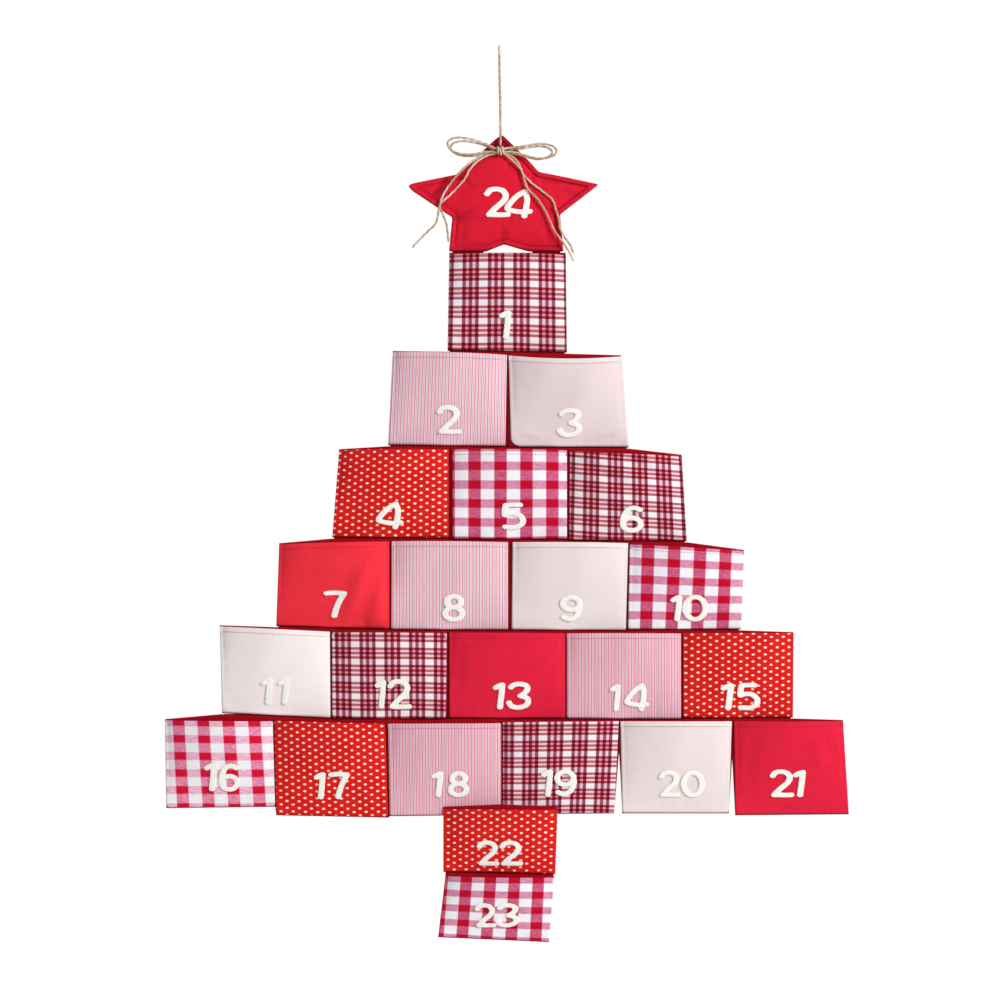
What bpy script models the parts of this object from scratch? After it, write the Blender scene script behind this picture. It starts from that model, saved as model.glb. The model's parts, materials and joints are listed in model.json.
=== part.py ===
"""Cloth advent calendar: a fir tree of sewn pockets below a star, hung on a loop of twine.

Metres, +Z up. The origin is the point where the twine loop bears on its hook. +X runs to
the viewer's right and the pockets face -Y, so the flat wall side of the cloth faces +Y.
"""
import math

import bpy
import numpy as np
from mathutils import Vector
from mathutils.bvhtree import BVHTree
from mathutils.geometry import delaunay_2d_cdt

# Fits between pieces that are sewn or laid on each other
CLEARANCE = 0.0003
SEAM_GAP = 0.0009
SEAM_BEVEL = 0.0014
RIM_DROP = 0.0012
FOOT_INSET = 0.0010

# Cloth and felt
BACKING_THICKNESS = 0.0010
FRONT_THICKNESS = 0.0010
FELT_THICKNESS = 0.0013
WALL_FACE_Y = 0.0015

# Pockets, and the rows that they are sewn to, from the top row down
POCKET_WIDTH = 0.1165
MOUTH_DEPTH = 0.0118
SEAM_STRIP = 0.0036
ROW_1_HEIGHT = 0.0991
ROW_2_HEIGHT = 0.0941
ROW_3_HEIGHT = 0.0919
ROW_4_HEIGHT = 0.0895
ROW_5_HEIGHT = 0.0877
ROW_6_HEIGHT = 0.0946
TRUNK_22_HEIGHT = 0.0668
TRUNK_23_HEIGHT = 0.0660
TRUNK_LAP = 0.0082
TREE_SHIFT = 0.0081

# Felt numbers
DIGIT_HEIGHT = 0.0280
STROKE_WIDTH = 0.0061

# Star
STAR_WIDTH = 0.1890
STAR_HEIGHT = 0.1182
STAR_SWELL = 0.0042
STAR_SHIFT = 0.0031
STAR_TIP_ROUND = 0.0020
EYELET_DROP = 0.0125
EYELET_RADIUS = 0.0024
EYELET_DIMPLE = 0.0040

# Twine, its hanging loop and the tie behind the eyelet
TWINE_DIAMETER = 0.0024
LOOP_RADIUS = 0.0052
HANGER_DROP = 0.0986
HANGER_LEAN = 0.0011
HANGER_KNOT_RADIUS = 0.0028
CORD_STEP = 0.0031
TAIL_STEP = 0.0058

# Bow
BOW_KNOT_WIDTH = 0.0124
BOW_KNOT_DEPTH = 0.0076
BOW_KNOT_HEIGHT = 0.0078
BOW_KNOT_DROP = 0.0055

# Shape of an open pocket: how the front stands off across and down, and its grid lines
MOUTH_ROUND_SHARE = 0.62
BELLY_SHARE = 1.30
RIM_SAG_SHARE = 0.012
ACROSS_SHARES = (0.0, 0.12, 0.26, 0.42, 0.58, 0.74, 0.88, 1.0)
DOWN_SHARES = (0.0, 0.34, 0.68)

# How wide each mouth gapes, in shares of MOUTH_DEPTH
MOUTH_SHARES = {
    1: 0.85, 2: 1.05, 3: 1.15, 4: 1.10, 5: 0.85, 6: 1.15, 7: 1.10, 8: 0.85,
    9: 0.95, 10: 1.15, 11: 1.05, 12: 0.90, 13: 0.90, 14: 0.85, 15: 0.95, 16: 1.10,
    17: 1.00, 18: 0.80, 19: 0.80, 20: 0.90, 21: 1.05, 22: 1.00, 23: 0.95,
}

# Corners of each pocket: top left, top right, bottom left, bottom right. Across from the
# tree's centre line in pocket widths, and down from the row's seam in row heights.
CORNER_SHARES = {
    1: ((-0.50, 0.02), (0.50, 0.025), (-0.515, 0.99), (0.51, 1.01)),
    2: ((-0.985, -0.005), (-0.005, 0.025), (-1.025, 0.985), (-0.02, 1.0)),
    3: ((0.01, 0.03), (0.975, 0.04), (0.03, 1.005), (1.04, 1.01)),
    4: ((-1.445, 0.03), (-0.505, 0.02), (-1.505, 0.98), (-0.505, 0.99)),
    5: ((-0.475, 0.02), (0.51, 0.03), (-0.475, 1.0), (0.51, 1.0)),
    6: ((0.535, 0.04), (1.495, 0.09), (0.53, 1.01), (1.54, 1.02)),
    7: ((-1.96, 0.045), (-1.015, 0.01), (-1.985, 0.96), (-1.015, 0.995)),
    8: ((-0.995, 0.01), (0.005, 0.02), (-1.0, 1.0), (0.005, 1.005)),
    9: ((0.045, 0.02), (1.035, 0.03), (0.035, 1.005), (1.015, 1.01)),
    10: ((1.05, 0.045), (2.03, 0.12), (1.035, 1.0), (2.005, 0.995)),
    11: ((-2.47, -0.05), (-1.525, 0.01), (-2.45, 0.94), (-1.52, 1.0)),
    12: ((-1.505, 0.015), (-0.52, 0.02), (-1.505, 1.005), (-0.53, 1.01)),
    13: ((-0.50, 0.02), (0.495, 0.03), (-0.50, 1.0), (0.495, 1.005)),
    14: ((0.51, 0.03), (1.49, 0.03), (0.51, 1.005), (1.49, 1.01)),
    15: ((1.505, 0.025), (2.455, 0.03), (1.505, 1.0), (2.45, 0.99)),
    16: ((-2.94, 0.01), (-2.015, 0.02), (-2.93, 0.94), (-1.995, 0.925)),
    17: ((-2.0, 0.015), (-1.05, 0.045), (-1.985, 1.015), (-1.025, 1.04)),
    18: ((-1.025, 0.045), (-0.055, 0.04), (-1.01, 1.025), (-0.055, 1.01)),
    19: ((-0.04, 0.03), (0.955, 0.02), (-0.04, 1.005), (0.915, 0.995)),
    20: ((0.97, 0.02), (1.925, 0.02), (0.985, 0.995), (1.90, 0.995)),
    21: ((1.945, 0.02), (2.88, 0.02), (1.955, 1.015), (2.93, 1.005)),
    22: ((-0.545, 0.045), (0.425, 0.05), (-0.55, 0.985), (0.41, 1.02)),
    23: ((-0.53, 0.035), (0.40, 0.055), (-0.595, 0.96), (0.355, 1.035)),
}

# Centre of each number on its pocket, in shares of the pocket across and down
NUMBER_SHARES = {
    1: (0.485, 0.74), 2: (0.51, 0.715), 3: (0.50, 0.73), 4: (0.48, 0.745),
    5: (0.54, 0.735), 6: (0.54, 0.75), 7: (0.525, 0.71), 8: (0.53, 0.74),
    9: (0.52, 0.735), 10: (0.535, 0.73), 11: (0.485, 0.70), 12: (0.54, 0.71),
    13: (0.545, 0.73), 14: (0.55, 0.745), 15: (0.53, 0.745), 16: (0.53, 0.64),
    17: (0.505, 0.665), 18: (0.545, 0.65), 19: (0.50, 0.66), 20: (0.55, 0.675),
    21: (0.465, 0.655), 22: (0.495, 0.675), 23: (0.50, 0.615),
}
STAR_NUMBER_SHARES = (0.030, 0.577)

# Step from the first digit to the second, and the second's drop, in digit heights
PAIR_SHARES = {
    10: (0.39, 0.0), 11: (0.42, 0.0), 12: (0.42, 0.0), 13: (0.375, 0.0), 14: (0.37, 0.0),
    15: (0.41, 0.0), 16: (0.39, 0.0), 17: (0.44, 0.0), 18: (0.31, 0.0), 19: (0.41, 0.0),
    20: (0.765, 0.0), 21: (0.78, 0.0), 22: (0.79, 0.0), 23: (0.73, 0.0), 24: (0.71, 0.07),
}

# Brush strokes of each digit, in digit heights across and up; a ring is its centre and
# its two radii. The brush is squat, as wide as STROKE_WIDTH and lower than it is wide.
BRUSH_SQUAT_SHARE = 0.74
STROKE_SHARES = {
    "0": (),
    "1": (((0.11, 0.80), (0.22, 0.86), (0.34, 0.90)), ((0.35, 0.89), (0.30, 0.50), (0.26, 0.10))),
    "2": (((0.11, 0.77), (0.22, 0.89), (0.44, 0.92), (0.64, 0.86), (0.72, 0.70), (0.62, 0.52),
           (0.40, 0.32), (0.19, 0.11)), ((0.18, 0.11), (0.50, 0.10), (0.81, 0.11))),
    "3": (((0.17, 0.81), (0.27, 0.89), (0.49, 0.92), (0.71, 0.86), (0.75, 0.73), (0.66, 0.60),
           (0.47, 0.52)), ((0.47, 0.52), (0.71, 0.44), (0.78, 0.31), (0.69, 0.17), (0.45, 0.09),
                           (0.21, 0.14), (0.10, 0.27))),
    "4": (((0.74, 0.92), (0.44, 0.73), (0.22, 0.50), (0.12, 0.33)),
          ((0.12, 0.33), (0.42, 0.27), (0.92, 0.27)), ((0.74, 0.92), (0.79, 0.55), (0.74, 0.10))),
    "5": (((0.13, 0.90), (0.35, 0.91), (0.60, 0.91)), ((0.13, 0.90), (0.11, 0.72), (0.10, 0.56)),
          ((0.10, 0.55), (0.29, 0.60), (0.53, 0.57), (0.70, 0.42), (0.67, 0.21), (0.44, 0.10),
           (0.11, 0.12))),
    "6": (((0.74, 0.83), (0.56, 0.91), (0.32, 0.84), (0.14, 0.61), (0.12, 0.33)),),
    "7": (((0.10, 0.90), (0.40, 0.92), (0.75, 0.90)), ((0.74, 0.89), (0.56, 0.58), (0.38, 0.11))),
    "8": (),
    "9": (((0.72, 0.69), (0.74, 0.46), (0.61, 0.20), (0.38, 0.11), (0.13, 0.20)),),
}
RING_SHARES = {
    "0": ((0.47, 0.50, 0.36, 0.41),),
    "6": ((0.44, 0.32, 0.32, 0.235),),
    "8": ((0.49, 0.715, 0.26, 0.20), (0.48, 0.305, 0.31, 0.22)),
    "9": ((0.42, 0.69, 0.31, 0.225),),
}
DIGIT_WIDTH_SHARES = {
    "0": 0.94, "1": 0.46, "2": 0.92, "3": 0.89, "4": 1.03,
    "5": 0.81, "6": 0.87, "7": 0.86, "8": 0.90, "9": 0.85,
}

# Outline of the star from its top point round by the right, in star widths across from
# the point and star heights down from it; the legs end flat where they meet the top row
STAR_SHARES = (
    (0.0, 0.0), (0.190, 0.313), (0.518, 0.419), (0.304, 0.674), (0.323, 1.0), (0.140, 1.0),
    (0.008, 0.926), (-0.088, 1.0), (-0.283, 1.0), (-0.266, 0.699), (-0.507, 0.429),
    (-0.238, 0.334),
)
STAR_MIDDLE_SHARES = (0.003, 0.619)
STAR_RING_SHARES = (0.76, 0.48)

# Top edge of the trunk, across in pocket widths and down in trunk heights
TRUNK_HEAD_SHARES = ((-0.55, 0.010), (-0.05, -0.027), (0.43, 0.010))

# The lowest row hangs open between these pockets, up to this share of its height
SLIT_AFTER = (19, 20)
SLIT_SHARE = 0.72

ROWS = (
    ("row_1", ROW_1_HEIGHT, (1,)),
    ("row_2", ROW_2_HEIGHT, (2, 3)),
    ("row_3", ROW_3_HEIGHT, (4, 5, 6)),
    ("row_4", ROW_4_HEIGHT, (7, 8, 9, 10)),
    ("row_5", ROW_5_HEIGHT, (11, 12, 13, 14, 15)),
    ("row_6", ROW_6_HEIGHT, (16, 17, 18, 19, 20, 21)),
    ("trunk_22", TRUNK_22_HEIGHT, (22,)),
    ("trunk_23", TRUNK_23_HEIGHT, (23,)),
)

# Route of the hanging loop: across in HANGER_LEAN, out in LOOP_RADIUS, down in HANGER_DROP,
# from the tie up the back, over the hook, down the front and back through the eyelet
HANGER_TOP_SHARES = ((1.0, 0.0), (0.97, -0.45), (0.72, -0.78), (0.0, -1.0),
                     (-0.72, -0.78), (-0.97, -0.45), (-1.0, 0.0))
HANGER_BACK_SHARES = ((1.0, 0.93, 0.90), (1.0, 1.0, 0.74), (0.9, 1.06, 0.55), (0.5, 1.05, 0.36),
                      (0.2, 1.02, 0.19))
HANGER_FRONT_SHARES = ((0.1, -1.02, 0.19), (0.3, -1.04, 0.36), (0.7, -1.02, 0.55),
                       (0.9, -1.0, 0.74), (1.0, -1.0, 0.88))
HANGER_EYELET_SHARES = ((-0.97, 0.70), (-0.72, 0.30), (-0.38, 0.07), (0.0, 0.0))

# Routes of the bow's doubled loops and its four tails, metres across and up from the hook.
# Each strand lies on the star, or this many twine diameters off it.
LAYERS = {
    "bow_left_front": 1.15, "bow_left_back": 0.10, "bow_right_front": 1.15,
    "bow_right_back": 0.10, "bow_tail_left_long": 0.60, "bow_tail_left_short": 0.0,
    "bow_tail_right_long": 0.90, "bow_tail_right_short": 0.0,
}
BOW_LOOPS = {
    "bow_left_front": (
        (-0.0010, -0.1023), (-0.0060, -0.1010), (-0.0144, -0.0968),
        (-0.0262, -0.0929), (-0.0406, -0.0909), (-0.0491, -0.0929),
        (-0.0517, -0.0970), (-0.0497, -0.1018), (-0.0437, -0.1056),
        (-0.0352, -0.1076), (-0.0252, -0.1074), (-0.0152, -0.1054),
        (-0.0060, -0.1052), (-0.0010, -0.1056)),
    "bow_left_back": (
        (-0.0010, -0.1023), (-0.0060, -0.1020), (-0.0144, -0.0986),
        (-0.0260, -0.0954), (-0.0384, -0.0942), (-0.0462, -0.0966),
        (-0.0488, -0.1006), (-0.0462, -0.1050), (-0.0392, -0.1082),
        (-0.0302, -0.1092), (-0.0212, -0.1084), (-0.0122, -0.1064),
        (-0.0055, -0.1057), (-0.0010, -0.1056)),
    "bow_right_front": (
        (0.0030, -0.1023), (0.0090, -0.1014), (0.0146, -0.1006),
        (0.0209, -0.1000), (0.0300, -0.0984), (0.0392, -0.0972),
        (0.0483, -0.0979), (0.0548, -0.1004), (0.0569, -0.1044),
        (0.0541, -0.1088), (0.0446, -0.1116), (0.0353, -0.1112),
        (0.0248, -0.1079), (0.0156, -0.1056), (0.0090, -0.1050),
        (0.0030, -0.1056)),
    "bow_right_back": (
        (0.0030, -0.1023), (0.0090, -0.1022), (0.0156, -0.1022),
        (0.0226, -0.1016), (0.0316, -0.1002), (0.0406, -0.0994),
        (0.0476, -0.1006), (0.0520, -0.1036), (0.0522, -0.1072),
        (0.0474, -0.1104), (0.0396, -0.1122), (0.0306, -0.1110),
        (0.0206, -0.1078), (0.0126, -0.1064), (0.0080, -0.1059),
        (0.0030, -0.1056)),
}
BOW_TAILS = {
    "bow_tail_left_long": (
        (0.0000, -0.1052), (-0.0060, -0.1072), (-0.0124, -0.1090),
        (-0.0190, -0.1124), (-0.0250, -0.1172), (-0.0302, -0.1236),
        (-0.0342, -0.1314), (-0.0420, -0.1406), (-0.0510, -0.1496),
        (-0.0576, -0.1552), (-0.0602, -0.1602), (-0.0614, -0.1692),
        (-0.0640, -0.1772), (-0.0706, -0.1836), (-0.0798, -0.1930),
        (-0.0870, -0.2006)),
    "bow_tail_left_short": (
        (0.0000, -0.1052), (-0.0070, -0.1062), (-0.0160, -0.1080),
        (-0.0228, -0.1116), (-0.0302, -0.1166), (-0.0366, -0.1224),
        (-0.0430, -0.1290), (-0.0490, -0.1366), (-0.0550, -0.1458),
        (-0.0582, -0.1534), (-0.0596, -0.1596), (-0.0568, -0.1668),
        (-0.0532, -0.1760), (-0.0518, -0.1850), (-0.0508, -0.1948)),
    "bow_tail_right_long": (
        (0.0024, -0.1052), (0.0072, -0.1086), (0.0116, -0.1124),
        (0.0168, -0.1170), (0.0216, -0.1232), (0.0241, -0.1302),
        (0.0274, -0.1404), (0.0318, -0.1458), (0.0372, -0.1512),
        (0.0444, -0.1615), (0.0496, -0.1720), (0.0549, -0.1836),
        (0.0626, -0.1942), (0.0696, -0.2050), (0.0740, -0.2138)),
    "bow_tail_right_short": (
        (0.0030, -0.1052), (0.0090, -0.1078), (0.0146, -0.1112),
        (0.0192, -0.1164), (0.0238, -0.1270), (0.0313, -0.1354),
        (0.0416, -0.1432), (0.0523, -0.1523), (0.0562, -0.1616),
        (0.0594, -0.1720), (0.0608, -0.1811), (0.0653, -0.1903),
        (0.0716, -0.1994), (0.0738, -0.2066)),
}

TWINE_RADIUS = TWINE_DIAMETER / 2
BACKING_FACE_Y = WALL_FACE_Y - BACKING_THICKNESS
EYELET_X = HANGER_LEAN
EYELET_Z = -HANGER_DROP
EYELET_SAG = EYELET_RADIUS - TWINE_RADIUS - CLEARANCE
STAR_TIP_Z = EYELET_Z + EYELET_DROP
STAR_SOLE_Z = STAR_TIP_Z - STAR_HEIGHT
FRONT_STACK = CLEARANCE + FRONT_THICKNESS

# Fabrics: linear colour, roughness and sheen
FABRICS = {
    "plaid": ((0.42, 0.06, 0.12), 0.90),
    "stripe": ((0.80, 0.42, 0.50), 0.88),
    "linen": ((0.72, 0.63, 0.61), 0.92),
    "dots": ((0.72, 0.04, 0.02), 0.86),
    "gingham": ((0.62, 0.10, 0.20), 0.88),
    "red": ((0.70, 0.02, 0.05), 0.84),
    "lining": ((0.30, 0.01, 0.02), 0.90),
    "felt": ((0.90, 0.87, 0.80), 0.95),
    "twine": ((0.55, 0.40, 0.24), 0.93),
}
POCKET_FABRICS = {
    "plaid": (1, 6, 12, 19),
    "stripe": (2, 8, 14, 18),
    "linen": (3, 9, 11, 20),
    "dots": (4, 15, 17, 22),
    "gingham": (5, 10, 16, 23),
    "red": (7, 13, 21),
}


def make_material(name):
    """One cloth as a Principled BSDF."""
    colour, roughness = FABRICS[name]
    material = bpy.data.materials.new(name)
    material.use_nodes = True
    shader = material.node_tree.nodes["Principled BSDF"]
    shader.inputs["Base Color"].default_value = (*colour, 1.0)
    shader.inputs["Roughness"].default_value = roughness
    shader.inputs["Metallic"].default_value = 0.0
    return material


def add_mesh(name, points, faces, material, smooth=False):
    """Put one closed mesh in the scene as its own object."""
    mesh = bpy.data.meshes.new(name)
    mesh.from_pydata([tuple(p) for p in points], [], [tuple(f) for f in faces])
    mesh.materials.append(material)
    if smooth:
        mesh.shade_smooth()
        mesh.set_sharp_from_angle(angle=math.radians(40))
    mesh.update()
    piece = bpy.data.objects.new(name, mesh)
    bpy.context.scene.collection.objects.link(piece)
    return piece


def signed_area(outline):
    """Area of a flat outline, positive when it runs anticlockwise."""
    xs = np.array([p[0] for p in outline])
    zs = np.array([p[1] for p in outline])
    return 0.5 * float(np.sum(xs * np.roll(zs, -1) - np.roll(xs, -1) * zs))


def tile_flat(outlines, holes=(), guides=()):
    """Triangles of the union of flat outlines, less the holes, cut along the guide lines."""
    unit = CLEARANCE
    points = []
    rings = []
    for outline in [*outlines, *holes]:
        ring = list(outline)
        if signed_area(ring) < 0:
            ring.reverse()
        rings.append(list(range(len(points), len(points) + len(ring))))
        points += ring
    edges = []
    for start, end in guides:
        edges.append((len(points), len(points) + 1))
        points += [start, end]
    flat = [Vector((x / unit, z / unit)) for x, z in points]
    out = delaunay_2d_cdt(flat, edges, rings, 1, 0.02)
    solid_rings = set(range(len(outlines)))
    tiles = []
    for tile, sources in zip(out[2], out[5]):
        if sources and set(sources) <= solid_rings:
            tiles.append(tuple(tile))
    used = sorted({i for tile in tiles for i in tile})
    place = {old: new for new, old in enumerate(used)}
    spots = [(out[0][i].x * unit, out[0][i].y * unit) for i in used]
    return spots, [tuple(place[i] for i in tile) for tile in tiles]


def slab_faces(tiles, count):
    """Faces of a slab: the tiles, their copies behind, and a wall along every open edge."""
    directed = {(tile[i], tile[(i + 1) % 3]) for tile in tiles for i in range(3)}
    rim = [(a, b) for a, b in directed if (b, a) not in directed]
    faces = [tuple(tile) for tile in tiles]
    faces += [tuple(count + i for i in reversed(tile)) for tile in tiles]
    faces += [(b, a, count + a, count + b) for a, b in sorted(rim)]
    return faces


def add_slab(name, spots, tiles, front, back, material):
    """A slab of cloth: every spot has a point on its front and one on its back."""
    points = [front(x, z) for x, z in spots] + [back(x, z) for x, z in spots]
    return add_mesh(name, points, slab_faces(tiles, len(spots)), material)


def rounded(outline, kept, radius, steps):
    """The outline with an arc at each outward corner, but for those that are kept."""
    turn = math.copysign(1.0, signed_area(outline))
    soft = []
    for i, corner in enumerate(outline):
        here = Vector(corner)
        back = (Vector(outline[i - 1]) - here).normalized()
        ahead = (Vector(outline[(i + 1) % len(outline)]) - here).normalized()
        bend = ahead.x * back.y - ahead.y * back.x
        if bend * turn <= 0 or corner in kept:
            soft.append(corner)
            continue
        half = back.angle(ahead) / 2
        reach = radius / math.tan(half)
        middle = here + (back + ahead).normalized() * (radius / math.sin(half))
        start = here + back * reach - middle
        end = here + ahead * reach - middle
        for step in range(steps + 1):
            share = step / steps
            arm = (start * (1 - share) + end * share).normalized() * radius
            soft.append(tuple(middle + arm))
    return soft


def row_seams():
    """Height of each row's top seam and the wall-side plane of its backing."""
    seams = {}
    top = STAR_SOLE_Z - SEAM_GAP
    for name, height, _ in ROWS[:6]:
        seams[name] = (top, WALL_FACE_Y)
        top -= height + SEAM_GAP
    rise = TRUNK_LAP - min(down for _, down in TRUNK_HEAD_SHARES) * TRUNK_22_HEIGHT
    flat = SEAM_STRIP + FOOT_INSET
    slope = (1 - DOWN_SHARES[-1] ** BELLY_SHARE) / (1 - DOWN_SHARES[-1])
    widest = max(MOUTH_SHARES[18], MOUTH_SHARES[19]) * MOUTH_DEPTH
    lap_bulge = widest * slope * (rise - flat) / (ROW_6_HEIGHT - flat)
    trunk_face = BACKING_FACE_Y - FRONT_STACK - lap_bulge - CLEARANCE
    trunk_top = seams["row_6"][0] - ROW_6_HEIGHT + TRUNK_LAP
    seams["trunk_22"] = (trunk_top, trunk_face)
    seams["trunk_23"] = (trunk_top - TRUNK_22_HEIGHT - SEAM_GAP, trunk_face)
    return seams


SEAMS = row_seams()
ROW_OF = {number: row for row in ROWS for number in row[2]}


def corner_places(number):
    """The pocket's four corners on the wall plane: top left, top right, bottom left and right."""
    name, height, _ = ROW_OF[number]
    top = SEAMS[name][0]
    return [(TREE_SHIFT + across * POCKET_WIDTH, top - down * height)
            for across, down in CORNER_SHARES[number]]


def foot_line(numbers):
    """The bottom edge of a row from left to right, with its slits."""
    line = []
    for number in numbers:
        corners = corner_places(number)
        line += [corners[2], corners[3]]
        if number in SLIT_AFTER:
            after = corner_places(number + 1)
            rise = ROW_OF[number][1] * SLIT_SHARE
            line.append(((corners[1][0] + after[0][0]) / 2, corners[3][1] + rise))
    return line


def height_along(line, x):
    """Height of a left-to-right line at x."""
    return float(np.interp(x, [p[0] for p in line], [p[1] for p in line]))


def head_line(index):
    """The top edge of a row's backing, close below what hangs above it."""
    name, height, numbers = ROWS[index]
    left = corner_places(numbers[0])[0]
    right = corner_places(numbers[-1])[1]
    top = SEAMS[name][0]
    if name == "row_1":
        return [(left[0], top), (right[0], top)]
    if name == "trunk_22":
        return [(TREE_SHIFT + across * POCKET_WIDTH, top - down * height)
                for across, down in TRUNK_HEAD_SHARES]
    above = [(x, z - SEAM_GAP) for x, z in foot_line(ROWS[index - 1][2])]
    line = [p for p in above if left[0] < p[0] < right[0]]
    if left[0] < above[0][0]:
        line.insert(0, (left[0], left[1] + RIM_DROP))
    else:
        line.insert(0, (left[0], height_along(above, left[0])))
    if right[0] > above[-1][0]:
        line.append((right[0], right[1] + RIM_DROP))
    else:
        line.append((right[0], height_along(above, right[0])))
    return line


def make_backing(index, material):
    """The cloth strip that a row's pockets are sewn to, pressed thin along its top seam."""
    name, _, numbers = ROWS[index]
    head = head_line(index)
    foot = foot_line(numbers)
    spots, tiles = tile_flat([head + foot[::-1]])
    face = SEAMS[name][1]
    low = min(z for _, z in head) - SEAM_BEVEL

    def front(x, z):
        on_head = z > low and z > height_along(head, x) - CLEARANCE
        return (x, face - BACKING_THICKNESS, z - SEAM_BEVEL if on_head else z)

    def back(x, z):
        return (x, face, z)

    return add_slab(f"{name}_backing", spots, tiles, front, back, material)


def stand_off(across, down, mouth):
    """How far an open pocket's front stands off its backing, in mouth depths."""
    arch = math.sin(math.pi * min(max(across, 0.0), 1.0))
    return mouth * max(arch, 0.0) ** MOUTH_ROUND_SHARE * (1 - down ** BELLY_SHARE)


def make_front(number, material):
    """A pocket's front: flat along its side and bottom seams, arched out at its open mouth."""
    name, height, _ = ROW_OF[number]
    top_left, top_right, low_left, low_right = corner_places(number)
    seam_y = SEAMS[name][1] - BACKING_THICKNESS - FRONT_STACK
    strip = SEAM_STRIP / POCKET_WIDTH
    bottom = (SEAM_STRIP + FOOT_INSET) / height
    inset = FOOT_INSET / height
    across_lines = [0.0] + [strip + (1 - 2 * strip) * share for share in ACROSS_SHARES] + [1.0]
    down_lines = [share * (1 - bottom) for share in DOWN_SHARES] + [1 - bottom, 1 - inset]
    mouth = MOUTH_SHARES[number] * MOUTH_DEPTH
    outer = []
    for down in down_lines:
        for across in across_lines:
            left = (top_left[0] + (low_left[0] - top_left[0]) * down,
                    top_left[1] + (low_left[1] - top_left[1]) * down)
            right = (top_right[0] + (low_right[0] - top_right[0]) * down,
                     top_right[1] + (low_right[1] - top_right[1]) * down)
            sag = RIM_SAG_SHARE * height * 4 * across * (1 - across) * (1 - down)
            open_across = (across - strip) / (1 - 2 * strip)
            open_down = min(down / (1 - bottom), 1.0)
            outer.append((left[0] + (right[0] - left[0]) * across,
                          seam_y - stand_off(open_across, open_down, mouth),
                          left[1] + (right[1] - left[1]) * across - sag))
    inner = [(x, y + FRONT_THICKNESS, z) for x, y, z in outer]
    wide = len(across_lines)
    tiles = []
    for row in range(len(down_lines) - 1):
        for column in range(wide - 1):
            a = row * wide + column
            b, c, d = a + 1, a + wide, a + wide + 1
            tiles += [(a, c, d), (a, d, b)]
    return add_mesh(f"pocket_{number:02d}_front", outer + inner,
                    slab_faces(tiles, len(outer)), material, smooth=True)


def smooth_path(points, step):
    """Evenly spaced points on a Catmull-Rom curve through the given ones, flat or in space."""
    knots = [Vector((p[0], 0.0, p[1]) if len(p) == 2 else p) for p in points]
    knots = [2 * knots[0] - knots[1]] + knots + [2 * knots[-1] - knots[-2]]
    fine = []
    parts = 16
    for i in range(1, len(knots) - 2):
        p0, p1, p2, p3 = knots[i - 1:i + 3]
        for k in range(parts):
            t = k / parts
            fine.append(0.5 * (2 * p1 + (p2 - p0) * t + (2 * p0 - 5 * p1 + 4 * p2 - p3) * t * t
                               + (3 * p1 - p0 - 3 * p2 + p3) * t ** 3))
    fine.append(knots[-2])
    run = [0.0]
    for a, b in zip(fine, fine[1:]):
        run.append(run[-1] + (b - a).length)
    count = max(4, round(run[-1] / step))
    marks = np.linspace(0.0, run[-1], count + 1)
    return [tuple(float(np.interp(mark, run, [p[axis] for p in fine])) for axis in range(3))
            for mark in marks]


def brush_outline(path, half_width):
    """Outline of one stroke of a squat brush along a flat path, with round ends."""
    squat = BRUSH_SQUAT_SHARE
    spine = [Vector((x, z / squat)) for x, z in path]
    left, right = [], []
    for i, spot in enumerate(spine):
        ahead = spine[min(i + 1, len(spine) - 1)] - spine[max(i - 1, 0)]
        side = Vector((-ahead.y, ahead.x)).normalized() * half_width
        left.append(spot + side)
        right.append(spot - side)

    def cap(centre, start):
        angles = [math.pi * (1 - k / 5) for k in range(1, 5)]
        turn = math.atan2(start.y, start.x)
        return [centre + Vector((math.cos(turn + a - math.pi), math.sin(turn + a - math.pi)))
                * half_width for a in angles]

    end_cap = cap(spine[-1], left[-1] - spine[-1])
    start_cap = cap(spine[0], right[0] - spine[0])
    ring = left + end_cap + right[::-1] + start_cap
    return [(p.x, p.y * squat) for p in ring]


def digit_outlines(digit, left, foot):
    """The strokes of one digit as flat outlines, from its left side and its foot."""
    half_width = STROKE_WIDTH / 2
    step = STROKE_WIDTH * 0.75
    outlines = []
    for stroke in STROKE_SHARES[digit]:
        route = [(left + x * DIGIT_HEIGHT, foot + z * DIGIT_HEIGHT) for x, z in stroke]
        path = [(x, z) for x, _, z in smooth_path(route, step)]
        outlines.append(brush_outline(path, half_width))
    for across, up, wide, high in RING_SHARES.get(digit, ()):
        for start in (0.0, math.pi):
            angles = [start + math.pi * k / 7 for k in range(8)]
            path = [(left + (across + wide * math.cos(a)) * DIGIT_HEIGHT,
                     foot + (up + high * math.sin(a)) * DIGIT_HEIGHT) for a in angles]
            outlines.append(brush_outline(path, half_width))
    return outlines


def number_outlines(number, centre):
    """The strokes of a whole number, centred on a spot of its pocket."""
    digits = str(number)
    step, drop = PAIR_SHARES.get(number, (0.0, 0.0))
    width = step + DIGIT_WIDTH_SHARES[digits[-1]]
    left = centre[0] - width * DIGIT_HEIGHT / 2
    foot = centre[1] - DIGIT_HEIGHT / 2
    outlines = digit_outlines(digits[0], left, foot)
    if len(digits) == 2:
        outlines += digit_outlines(digits[1], left + step * DIGIT_HEIGHT,
                                   foot - drop * DIGIT_HEIGHT)
    return outlines


def cloth_tree(carrier):
    """A ray-cast tree over a piece's own surface."""
    carrier.data.calc_loop_triangles()
    corners = [v.co for v in carrier.data.vertices]
    return BVHTree.FromPolygons(corners, [tuple(t.vertices) for t in carrier.data.loop_triangles])


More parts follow.
